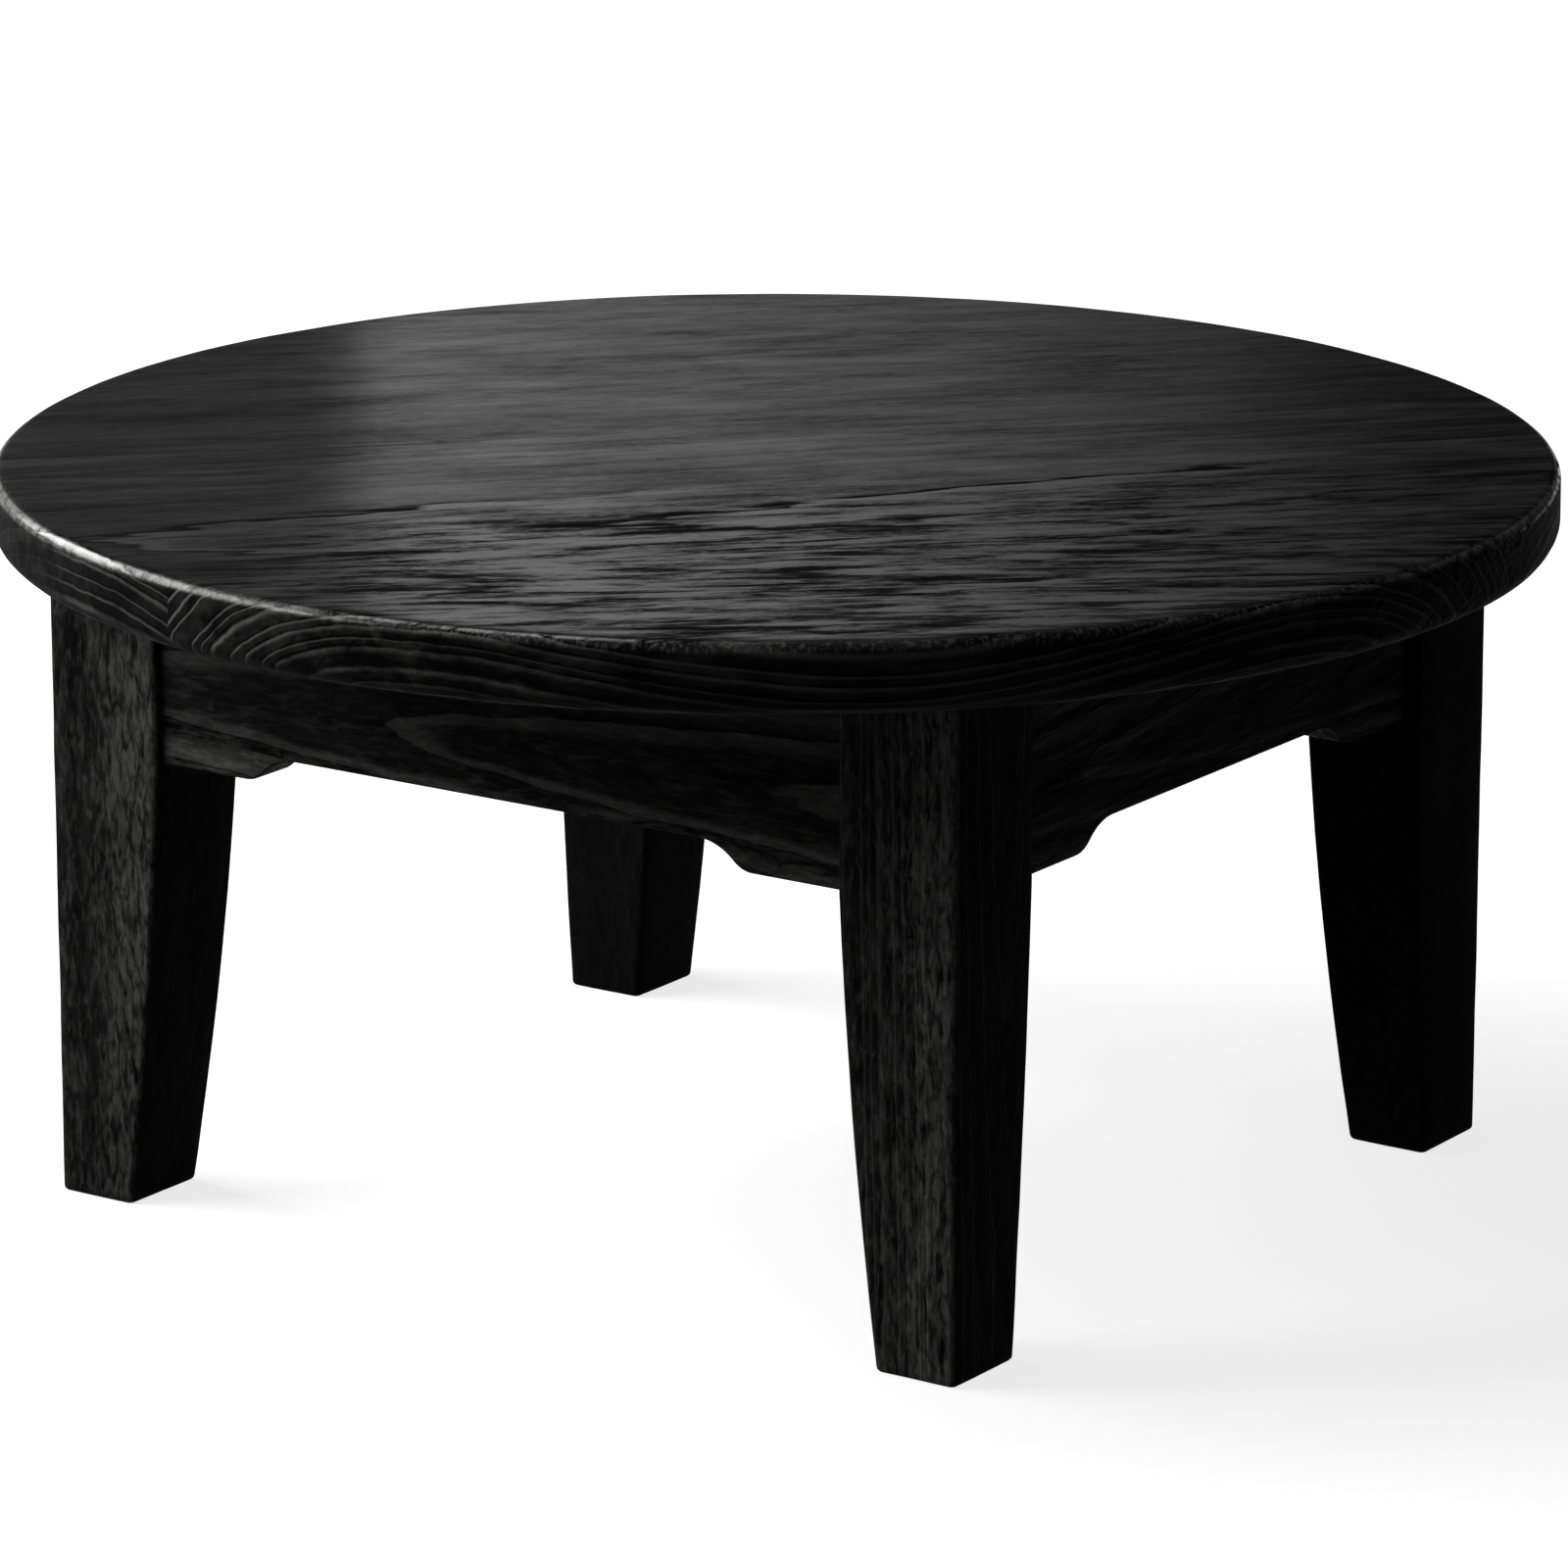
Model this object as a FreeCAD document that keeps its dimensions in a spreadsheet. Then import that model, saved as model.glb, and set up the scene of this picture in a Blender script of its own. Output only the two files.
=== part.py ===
"""Round low tea table: a solid edge-jointed top on a tenoned frame with four tapered legs.

Lengths are millimetres. X runs along the two longer aprons, Y along the two shorter ones, and Z up from the
floor. The origin is on the floor, under the middle of the top.
"""
import FreeCAD, Part
import math
import os
import re
import Sketcher
from FreeCAD import Placement, Rotation, Vector

# Driving dimensions, each written once. The names are the aliases of the sheet's cells.
SIZES = {
    # the round top
    "top_diameter": 600, "top_thickness": 28, "table_height": 285,
    "top_upper_round": 5, "top_lower_round": 8,
    "grain_turn": 45,
    "front_joint": 161, "middle_joint": 39, "back_joint": 161,
    "spline_width": 18, "spline_thickness": 8, "spline_end_margin": 34, "spline_clearance": 0.2,
    # the frame that carries it
    "frame_length": 414, "frame_width": 378,
    "leg_width": 52, "leg_round": 3,
    "foot_length": 35, "foot_width": 41, "foot_chamfer": 1.5,
    "taper_bulge_length": 2, "taper_bulge_width": 1,
    # the aprons, tenoned into the legs
    "apron_height": 79, "apron_thickness": 20, "apron_arris": 1,
    "long_setback": 4, "short_setback": 7,
    "bracket_drop": 10, "bracket_flat": 39, "bracket_run": 25,
    "tenon_thickness": 10, "tenon_top_shoulder": 19, "tenon_bottom_shoulder": 12,
    "groove_top_shoulder": 10, "groove_height": 6, "groove_depth": 9,
    # the braces behind the legs
    "brace_thickness": 24, "brace_seat": 14, "brace_top_gap": 2, "brace_bottom_shoulder": 27,
    "brace_screw_bite": 25, "brace_arris": 1.5,
    # the turn buttons that hold the top
    "button_width": 18, "button_axis_gap": 14, "button_shoulder": 10, "button_reach": 20, "button_tail": 14,
    "button_clearance": 0.3, "button_corner": 2, "button_screw_bite": 14, "pivot_clearance": 0.1,
    "long_button_place": 50, "short_button_place": 38,
    # the screws
    "screw_radius": 2, "screw_clearance": 0.1, "screw_head_radius": 4, "screw_head_height": 2.4,
    "screw_end_room": 1,
    # how far a cut runs past what it cuts
    "overrun": 5,
}
# Share of the ogee's run, and of its drop, that its lower, rounded arc takes.
ROUNDED_ARC_SHARE = 0.34
# How many flats ease a corner of a leg or an arris of the top, and how many steps make a leg's curved taper.
CORNER_FLATS = 3
TAPER_STEPS = 4
QUARTER_TURN = 90
HALF_TURN = 180
# How near two places are when they count as one, in millimetres.
TOLERANCE = 1e-4

# Heights and places worked out from the driving dimensions.
UNDERSIDE = "(table_height - top_thickness)"
KNEE = f"({UNDERSIDE} - apron_height)"
GROOVE_BOTTOM = "(groove_top_shoulder + groove_height)"
SHEET_NAME = "sizes"

doc = FreeCAD.newDocument("low_table")
sheet = doc.addObject("Spreadsheet::Sheet", SHEET_NAME)
for row, (alias, size) in enumerate(SIZES.items(), start=1):
    sheet.set(f"A{row}", alias)
    sheet.set(f"B{row}", str(size))
    sheet.setAlias(f"B{row}", alias)
doc.recompute()


def formula(text):
    """The same formula with each size's name read from the sheet."""
    def from_sheet(word):
        return f"{SHEET_NAME}.{word[0]}" if word[0] in SIZES else word[0]
    return re.sub(r"[a-z][a-z_]*", from_sheet, text)


def value(text):
    """What a formula comes to at the present sizes."""
    return float(sheet.evalExpression(formula(text)))


def bind(thing, **formulas):
    """Bind properties of an object to formulas on the sheet."""
    for name, text in formulas.items():
        thing.setExpression(name, formula(text))


def put(thing, place, degrees=0, axis=Vector(0, 0, 1)):
    """Place an object: a turn about an axis through its own origin, then a move to formulas for X, Y and Z."""
    thing.Placement = Placement(Vector(), Rotation(axis, degrees))
    for name, text in zip("xyz", place):
        thing.setExpression(f"Placement.Base.{name}", formula(text))


def side_place(turn, along, out):
    """X and Y formulas of a point on the side of the table that faces turn degrees round from the front.

    along is measured along that side, rightwards as seen from outside, and out from the middle outwards.
    """
    cosine = round(math.cos(math.radians(turn)))
    sine = round(math.sin(math.radians(turn)))
    return f"{cosine} * ({along}) + {sine} * ({out})", f"{sine} * ({along}) - {cosine} * ({out})"


# Outlines. A path is a list of points. A point is (x, y), or (x, y, radius, turn) where it is reached
# by an arc that bends left (turn 1) or right (turn -1).

def plane_of(body, role):
    """One of a body's own origin planes."""
    return next(plane for plane in body.Origin.OriginFeatures if plane.Role == role)


def pin_point(sketch, edge, end, point):
    """Hold one end of an edge at formulas for x and y."""
    for kind, text in zip(("DistanceX", "DistanceY"), point):
        number = sketch.addConstraint(Sketcher.Constraint(kind, -1, 1, edge, end, value(text)))
        sketch.renameConstraint(number, f"{kind}_{number}")
        sketch.setExpression(f"Constraints.{kind}_{number}", formula(text))


def arc_between(first, last, radius, turn):
    """The minor arc from one point to another, counter-clockwise where turn is 1."""
    chord = last - first
    height = math.sqrt(max(radius ** 2 - (chord.Length / 2) ** 2, 0))
    to_centre = Vector(-chord.y, chord.x, 0).normalize() * height * turn
    centre = (first + last) * 0.5 + to_centre
    angles = [math.atan2(point.y - centre.y, point.x - centre.x) for point in (first, last)]
    if turn < 0:
        angles.reverse()
    return Part.ArcOfCircle(Part.Circle(centre, Vector(0, 0, 1), radius), *angles)


def draw_loop(sketch, path):
    """Draw one closed path in a sketch and hold every point and radius."""
    spots = [Vector(value(point[0]), value(point[1]), 0) for point in path]
    starts = []
    for index, point in enumerate(path):
        first, last = spots[index - 1], spots[index]
        if len(point) > 2:
            radius, turn = point[2], point[3]
            edge = sketch.addGeometry(arc_between(first, last, value(radius), turn), False)
            number = sketch.addConstraint(Sketcher.Constraint("Radius", edge, value(radius)))
            sketch.renameConstraint(number, f"Radius_{number}")
            sketch.setExpression(f"Constraints.Radius_{number}", formula(radius))
            starts.append((edge, 1, 2) if turn > 0 else (edge, 2, 1))
        else:
            starts.append((sketch.addGeometry(Part.LineSegment(first, last), False), 1, 2))
    for index, point in enumerate(path):
        edge, _, end = starts[index]
        after, start, _ = starts[(index + 1) % len(path)]
        sketch.addConstraint(Sketcher.Constraint("Coincident", edge, end, after, start))
        pin_point(sketch, edge, end, point[:2])


def new_sketch(body, name, role, lift="0"):
    """An empty sketch on one of a body's origin planes, lifted along the plane's normal."""
    sketch = body.newObject("Sketcher::SketchObject", name)
    sketch.AttachmentSupport = (plane_of(body, role), [""])
    sketch.MapMode = "FlatFace"
    sketch.setExpression("AttachmentOffset.Base.z", formula(lift))
    return sketch


def outline(body, name, role, paths, lift="0"):
    """A sketch of closed paths."""
    sketch = new_sketch(body, name, role, lift)
    for path in paths:
        draw_loop(sketch, path)
    doc.recompute()
    return sketch


def circles(body, name, role, centres, radius, lift="0"):
    """A sketch of equal circles."""
    sketch = new_sketch(body, name, role, lift)
    for centre in centres:
        spot = Vector(value(centre[0]), value(centre[1]), 0)
        edge = sketch.addGeometry(Part.Circle(spot, Vector(0, 0, 1), value(radius)), False)
        number = sketch.addConstraint(Sketcher.Constraint("Radius", edge, value(radius)))
        sketch.renameConstraint(number, f"Radius_{number}")
        sketch.setExpression(f"Constraints.Radius_{number}", formula(radius))
        pin_point(sketch, edge, 3, centre)
    doc.recompute()
    return sketch


def rectangle(left, right, low, high):
    """The path of a rectangle."""
    return [(left, low), (right, low), (right, high), (left, high)]


def eased_corner(x, y, radius, first_degrees):
    """Points of a planed and sanded corner: a quarter circle about a centre, in even flats."""
    points = []
    for step in range(CORNER_FLATS + 1):
        degrees = first_degrees + QUARTER_TURN * step / CORNER_FLATS
        points.append((f"{x} + {radius} * cos({degrees})", f"{y} + {radius} * sin({degrees})"))
    return points


def eased_rectangle(width, depth, radius):
    """The path of a rectangle with one corner at the origin and all four corners eased."""
    far_x, far_y = f"{width} - {radius}", f"{depth} - {radius}"
    return [
        *eased_corner(radius, radius, radius, HALF_TURN),
        *eased_corner(far_x, radius, radius, HALF_TURN + QUARTER_TURN),
        *eased_corner(far_x, far_y, radius, 0),
        *eased_corner(radius, far_y, radius, QUARTER_TURN),
    ]


# Features on a body's sketches.

def new_body(label):
    """An empty body for one sub-part."""
    body = doc.addObject("PartDesign::Body", label)
    body.Label = label
    return body


def pad(body, sketch, length, reverse=False):
    """Thicken a sketch along its normal, or against it."""
    feature = body.newObject("PartDesign::Pad", f"{sketch.Name}_pad")
    feature.Profile = sketch
    feature.Reversed = reverse
    feature.setExpression("Length", formula(length))
    doc.recompute()
    return feature


def pocket(body, sketch, length, reverse=False):
    """Cut a sketch into the body against its normal, or along it, and make sure that it cuts."""
    before = body.Shape.Volume
    feature = body.newObject("PartDesign::Pocket", f"{sketch.Name}_pocket")
    feature.Profile = sketch
    feature.Type = "Length"
    feature.Reversed = reverse
    feature.setExpression("Length", formula(length))
    doc.recompute()
    if body.Shape.Volume >= before:
        raise RuntimeError(f"{feature.Name} cuts nothing from {body.Label}")
    return feature


def edges_where(shape, test):
    """The names of the edges for which a test holds."""
    return [f"Edge{number}" for number, edge in enumerate(shape.Edges, start=1) if test(edge)]


def dress(body, kind, size_name, size, test):
    """Fillet or chamfer the edges of the body's tip that a test picks out."""
    base = body.Tip
    feature = body.newObject(f"PartDesign::{kind}", f"{body.Name}_{kind.lower()}")
    feature.Base = (base, edges_where(base.Shape, test))
    feature.setExpression(size_name, formula(size))
    doc.recompute()
    return feature


def touches(edge, level):
    """Whether an edge lies wholly at a height."""
    box = edge.BoundBox
    return max(abs(box.ZMin - level), abs(box.ZMax - level)) < TOLERANCE


# Screws. One is drawn standing on its head's seat, pointing up, and turned to where it goes.

def screw_parts(name, length, place, tilt=0, axis=Vector(0, 0, 1)):
    """A wood screw: head below its seat and shank above it."""
    head = doc.addObject("Part::Cylinder", f"{name}_head")
    bind(head, Radius="screw_head_radius", Height="screw_head_height")
    put(head, ("0", "0", "-screw_head_height"))
    shank = doc.addObject("Part::Cylinder", f"{name}_shank")
    bind(shank, Radius="screw_radius", Height=length)
    screw = doc.addObject("Part::MultiFuse", name)
    screw.Shapes = [head, shank]
    put(screw, place, tilt, axis)
    return screw


def screw_hole(name, length, place, tilt=0, axis=Vector(0, 0, 1)):
    """The hole that such a screw needs, from its seat."""
    hole = doc.addObject("Part::Cylinder", name)
    bind(hole, Radius="screw_radius + screw_clearance", Height=length)
    put(hole, place, tilt, axis)
    return hole


def group(label, members):
    """Like pieces that share one node, as separate solids."""
    compound = doc.addObject("Part::Compound", label)
    compound.Label = label
    compound.Links = members
    return compound


# The four sides, each as its turn from the front, with the sizes that differ between long and short.
# A side faces outwards, and its length runs between the outer faces of its two legs.

SIDES = {
    "front": {"turn": 0, "length": "frame_length", "out": "frame_width / 2",
              "setback": "long_setback", "next_setback": "short_setback", "button": "long_button_place"},
    "right": {"turn": 90, "length": "frame_width", "out": "frame_length / 2",
              "setback": "short_setback", "next_setback": "long_setback", "button": "short_button_place"},
    "back": {"turn": 180, "length": "frame_length", "out": "frame_width / 2",
             "setback": "long_setback", "next_setback": "short_setback", "button": "long_button_place"},
    "left": {"turn": 270, "length": "frame_width", "out": "frame_length / 2",
             "setback": "short_setback", "next_setback": "long_setback", "button": "short_button_place"},
}


def button_axes():
    """Name, turn and X, Y formulas of each button's screw, two to a side."""
    axes = []
    for side, facts in SIDES.items():
        out = f"{facts['out']} - {facts['setback']} - apron_thickness - button_axis_gap"
        for hand, sign in (("left", -1), ("right", 1)):
            place = side_place(facts["turn"], f"{sign} * {facts['button']}", out)
            axes.append((f"{side}_{hand}", facts["turn"], place))
    return axes


# The top: a turned blank with rounded arrises, cut into boards along the grain. The boards are edge
# jointed with stopped loose tongues. In the blank's own turned frame Y runs across the boards.

JOINTS = {"front": "-front_joint", "middle": "middle_joint", "back": "back_joint"}
BOARDS = {
    "top_board_front": ("-top_diameter / 2", "-front_joint"),
    "top_board_front_middle": ("-front_joint", "middle_joint"),
    "top_board_back_middle": ("middle_joint", "back_joint"),
    "top_board_back": ("back_joint", "top_diameter / 2"),
}
SPLINE_LEVEL = f"({UNDERSIDE} + top_thickness / 2)"


def along_grain(along, across):
    """X and Y formulas of a point given along and across the grain."""
    return (f"({along}) * cos(grain_turn) - ({across}) * sin(grain_turn)",
            f"({along}) * sin(grain_turn) + ({across}) * cos(grain_turn)")


def grain_box(name, length, low, high, bottom, height):
    """A box along the grain, centred on the middle of the top, between two places across it."""
    box = doc.addObject("Part::Box", name)
    bind(box, Length=length, Width=f"{high} - ({low})", Height=height)
    put(box, (*along_grain(f"-({length}) / 2", low), bottom), SIZES["grain_turn"])
    box.setExpression("Placement.Rotation.Angle", formula("grain_turn"))
    return box


def top_blank():
    """The whole round top, turned about its axis."""
    body = new_body("top_blank")
    low, high = UNDERSIDE, "table_height"
    sketch = outline(body, "top_rim", "XZ_Plane", [[
        ("0", low),
        *eased_corner("top_diameter / 2 - top_lower_round", f"{low} + top_lower_round", "top_lower_round",
                      -QUARTER_TURN),
        *eased_corner("top_diameter / 2 - top_upper_round", f"{high} - top_upper_round", "top_upper_round", 0),
        ("0", high),
    ]])
    turned = body.newObject("PartDesign::Revolution", "top_turned")
    turned.Profile = sketch
    turned.ReferenceAxis = (sketch, ["V_Axis"])
    turned.Angle = 2 * HALF_TURN
    doc.recompute()
    return body


def spline_length(joint):
    """Length of the stopped tongue in a joint, clear of the rim."""
    return f"2 * (sqrt(top_diameter ^ 2 / 4 - ({joint}) ^ 2) - spline_end_margin)"


def spline_boxes(kind, slack):
    """A box at each joint: the groove of its loose tongue, or with slack the tongue itself."""
    boxes = {}
    half_width = f"(spline_width / 2 - {slack})"
    height = f"(spline_thickness - 2 * {slack})"
    for name, joint in JOINTS.items():
        boxes[name] = grain_box(f"{kind}_{name}", f"{spline_length(joint)} - 2 * {slack}",
                                f"{joint} - {half_width}", f"{joint} + {half_width}",
                                f"{SPLINE_LEVEL} - {height} / 2", height)
    return boxes


def make_top():
    """Four boards and three loose tongues, with the pilot holes of the buttons' screws."""
    blank = top_blank()
    grooves = spline_boxes("groove", "0")
    holes = [screw_hole(f"pilot_{name}", "button_screw_bite + screw_end_room", (*place, UNDERSIDE))
             for name, _, place in button_axes()]
    cuts = group("top_cuts", [*grooves.values(), *holes])
    pilots = group("top_pilots", holes)
    made = []
    for label, (low, high) in BOARDS.items():
        slab = grain_box(f"{label}_slab", "top_diameter", low, high, UNDERSIDE, "top_thickness")
        sawn = doc.addObject("Part::Common", f"{label}_sawn")
        sawn.Base, sawn.Tool = blank, slab
        board = doc.addObject("Part::Cut", label)
        board.Base, board.Tool, board.Label = sawn, cuts, label
        made.append(board)
    for name, tongue in spline_boxes("tongue", "spline_clearance").items():
        spline = doc.addObject("Part::Cut", f"top_spline_{name}")
        spline.Base, spline.Tool, spline.Label = tongue, pilots, f"top_spline_{name}"
        made.append(spline)
    return made


# The legs: square where the aprons meet them, with straight outer faces. Below the aprons the two inner
# faces taper in a slight curve. Open mortises from both inner faces meet inside. A leg is drawn from its
# outer corner, with its first and second side along X and Y, and turned to its place.

CORNERS = {
    "left": {"turn": 0, "x": "-frame_length / 2", "y": "-frame_width / 2", "first": "length"},
    "front": {"turn": 90, "x": "frame_length / 2", "y": "-frame_width / 2", "first": "width"},
    "right": {"turn": 180, "x": "frame_length / 2", "y": "frame_width / 2", "first": "length"},
    "back": {"turn": 270, "x": "-frame_length / 2", "y": "frame_width / 2", "first": "width"},
}
# Setback of the apron that runs along a leg's first side, by that side's direction, and of the other apron.
SETBACKS = {"length": ("long_setback", "short_setback"), "width": ("short_setback", "long_setback")}
OTHER = {"length": "width", "width": "length"}
TENON_TOP = f"({UNDERSIDE} - tenon_top_shoulder)"
TENON_HEIGHT = "(apron_height - tenon_top_shoulder - tenon_bottom_shoulder)"
TENON_BOTTOM = f"({TENON_TOP} - {TENON_HEIGHT})"
TENON_INSET = "(apron_thickness - tenon_thickness) / 2"
BRACE_MIDDLE = f"({UNDERSIDE} - (apron_height - brace_bottom_shoulder + brace_top_gap) / 2)"
# Distance along the diagonal from a leg's outer corner to the inner face of its brace.
BRACE_FACE = "((2 * leg_width - brace_seat) / sqrt(2) + brace_thickness)"


def leg_section(body, name, first, second, level):
    """A section of the leg at a height, with eased corners."""
    return outline(body, name, "XY_Plane", [eased_rectangle(first, second, "leg_round")], level)


def tapered_shaft(body, first):
    """Loft up from the foot to the square under the aprons, in short lengths that swell slightly between."""
    sections = []
    for step in range(TAPER_STEPS + 1):
        share = step / TAPER_STEPS
        swell_share = 4 * share * (1 - share)
        widths = [f"(foot_{side} + (leg_width - foot_{side}) * {share} + taper_bulge_{side} * {swell_share})"
                  for side in (first, OTHER[first])]
        sections.append(leg_section(body, f"{body.Name}_section_{step}", *widths, f"{KNEE} * {share}"))
    loft = body.newObject("PartDesign::AdditiveLoft", f"{body.Name}_taper")
    loft.Profile = sections[0]
    loft.Sections = sections[1:]
    loft.Ruled = True
    doc.recompute()
    return loft


def mortise_path(first):
    """Plan of the two mortises, an L whose arms run out through the inner faces."""
    near, other = (f"({setback} + {TENON_INSET})" for setback in SETBACKS[first])
    near_end, other_end = f"({near} + tenon_thickness)", f"({other} + tenon_thickness)"
    past = "(leg_width + overrun)"
    return [(other, near), (past, near), (past, near_end),
            (other_end, near_end), (other_end, past), (other, past)]


def brace_screw_place(corner):
    """X, Y and Z formulas of the seat of a brace's screw, on the diagonal of its corner."""
    x_sign = 1 if corner["x"].startswith("-") else -1
    y_sign = 1 if corner["y"].startswith("-") else -1
    return (f"{corner['x']} + {x_sign} * {BRACE_FACE} / sqrt(2)",
            f"{corner['y']} + {y_sign} * {BRACE_FACE} / sqrt(2)", BRACE_MIDDLE)


def towards_corner(corner):
    """The rotation axis that tips a screw from upright to level, pointing out along a corner's diagonal."""
    diagonal = math.radians(corner["turn"] + QUARTER_TURN / 2)
    return Vector(math.sin(diagonal), -math.cos(diagonal), 0)


def brace_hole(name, corner):
    """The hole for a brace's screw, through the brace and into the leg."""
    return screw_hole(f"{name}_brace_hole", "brace_thickness + brace_screw_bite + screw_end_room",
                      brace_screw_place(corner), QUARTER_TURN, towards_corner(corner))


def make_leg(name, corner, hole):
    """One leg with its mortises and the hole for the brace's screw."""
    body = new_body(f"{name}_leg_wood")
    first = corner["first"]
    square = leg_section(body, f"{body.Name}_square", "leg_width", "leg_width", KNEE)
    pad(body, square, "apron_height")
    tapered_shaft(body, first)
    dress(body, "Chamfer", "Size", "foot_chamfer", lambda edge: touches(edge, 0))
    mortise = outline(body, f"{body.Name}_mortise", "XY_Plane", [mortise_path(first)], TENON_BOTTOM)
    pocket(body, mortise, TENON_HEIGHT, reverse=True)
    put(body, (corner["x"], corner["y"], "0"), corner["turn"])
    leg = doc.addObject("Part::Cut", f"leg_{name}")
    leg.Base, leg.Tool, leg.Label = body, hole, f"leg_{name}"
    return leg


# The aprons. One is drawn with its outer face on Y = 0 and its middle on X = 0, and turned to its side.
# Its lower edge is straight in the middle and steps down through an ogee to a flat bracket at each leg.

def ogee_radius(share):
    """Radius of the ogee's arc that takes a share of its run and drop."""
    return f"{share} * (bracket_run ^ 2 + bracket_drop ^ 2) / (2 * bracket_drop)"


def apron_path(half):
    """Outline of the apron between its shoulders, from the lower left, counter-clockwise."""
    low, high = KNEE, f"{KNEE} + bracket_drop"
    turn_in = f"({half} - bracket_flat)"
    joint = f"({turn_in} - {ROUNDED_ARC_SHARE} * bracket_run)"
    joint_level = f"{low} + {ROUNDED_ARC_SHARE} * bracket_drop"
    rounded, hollow = ogee_radius(ROUNDED_ARC_SHARE), ogee_radius(1 - ROUNDED_ARC_SHARE)
    straight_end = f"({turn_in} - bracket_run)"
    return [
        (f"-{half}", low), (f"-{turn_in}", low),
        (f"-{joint}", joint_level, rounded, 1), (f"-{straight_end}", high, hollow, -1),
        (straight_end, high),
        (joint, joint_level, hollow, -1), (turn_in, low, rounded, 1),
        (half, low), (half, UNDERSIDE), (f"-{half}", UNDERSIDE),
    ]


def tenon_path(half, facts, sign):
    """Plan of one mitred tenon, which meets its neighbour's along a diagonal inside the leg."""
    near, far = TENON_INSET, f"({TENON_INSET} + tenon_thickness)"
    tip = f"({facts['length']} / 2 - {facts['next_setback']} - {TENON_INSET})"
    path = [(f"{sign} * {half}", near), (f"{sign} * {tip}", near),
            (f"{sign} * ({tip} - tenon_thickness)", far), (f"{sign} * {half}", far)]
    return path if sign > 0 else path[::-1]


def make_apron(side, facts):
    """One apron with its tenons and the ploughed groove for the buttons."""
    body = new_body(f"apron_{side}")
    half = f"({facts['length']} / 2 - leg_width)"
    board = outline(body, f"{body.Name}_outline", "XZ_Plane", [apron_path(half)])
    pad(body, board, "apron_thickness", reverse=True)
    ease_apron(body, value(half))
    tenons = outline(body, f"{body.Name}_tenons", "XY_Plane",
                     [tenon_path(half, facts, sign) for sign in (-1, 1)], TENON_BOTTOM)
    pad(body, tenons, TENON_HEIGHT)
    groove_low = f"{UNDERSIDE} - {GROOVE_BOTTOM}"
    groove = outline(body, f"{body.Name}_groove", "XY_Plane", [rectangle(
        f"-{half}", half, "apron_thickness - groove_depth", "apron_thickness + overrun")], groove_low)
    pocket(body, groove, "groove_height", reverse=True)
    put(body, (*side_place(facts["turn"], "0", f"{facts['out']} - {facts['setback']}"), "0"), facts["turn"])
    return body


def ease_apron(body, half):
    """Take the sharpness off the two lower long edges, along the brackets and the straight."""
    straight = value(f"{KNEE} + bracket_drop")

    def lower_edge(edge):
        box = edge.BoundBox
        return box.ZMax < straight + TOLERANCE and box.YLength < TOLERANCE and box.XMax - box.XMin > TOLERANCE
    dress(body, "Chamfer", "Size", "apron_arris", lower_edge)


# The braces: blocks set across each corner, notched round the leg and mitred to both aprons. A brace is
# drawn from its leg's outer corner, as the leg is.

def brace_path(first):
    """Plan of a brace, counter-clockwise from its heel on the first apron."""
    near, other = (f"({setback} + apron_thickness)" for setback in SETBACKS[first])
    heel_sum = "(2 * leg_width - brace_seat)"
    face_sum = f"({heel_sum} + brace_thickness * sqrt(2))"
    seat = "(leg_width - brace_seat)"
    return [
        (f"{heel_sum} - {near}", near), (f"{face_sum} - {near}", near),
        (other, f"{face_sum} - {other}"), (other, f"{heel_sum} - {other}"),
        (seat, "leg_width"), ("leg_width", "leg_width"), ("leg_width", seat),
    ]


def make_brace(name, corner, hole):
    """One corner brace with its screw hole."""
    body = new_body(f"{name}_brace_wood")
    height = "(apron_height - brace_top_gap - brace_bottom_shoulder)"
    plan = outline(body, f"{body.Name}_plan", "XY_Plane", [brace_path(corner["first"])],
                   f"{UNDERSIDE} - brace_top_gap - {height}")
    pad(body, plan, height)
    reach = value(f"{BRACE_FACE} * sqrt(2)")

    def face_edge(edge):
        middle = edge.CenterOfMass
        return abs(middle.x + middle.y - reach) < TOLERANCE and edge.BoundBox.ZLength < TOLERANCE
    dress(body, "Chamfer", "Size", "brace_arris", face_edge)
    put(body, (corner["x"], corner["y"], "0"), corner["turn"])
    brace = doc.addObject("Part::Cut", f"corner_brace_{name}")
    brace.Base, brace.Tool, brace.Label = body, hole, f"corner_brace_{name}"
    return brace


def make_corners():
    """Legs, braces and the screws that hold the braces to the legs."""
    made, screws = [], []
    for name, corner in CORNERS.items():
        hole = brace_hole(name, corner)
        made += [make_leg(name, corner, hole), make_brace(name, corner, hole)]
        screws.append(screw_parts(f"{name}_brace_screw", "(brace_thickness + brace_screw_bite)",
                                  brace_screw_place(corner), QUARTER_TURN, towards_corner(corner)))
    return made + [group("brace_screws", screws)]


# The turn buttons: rebated blocks whose tongue lies in an apron's groove and whose top bears on the
# underside of the table top. A button is drawn on its screw's axis, tongue towards -Y, top at Z = 0.

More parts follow.
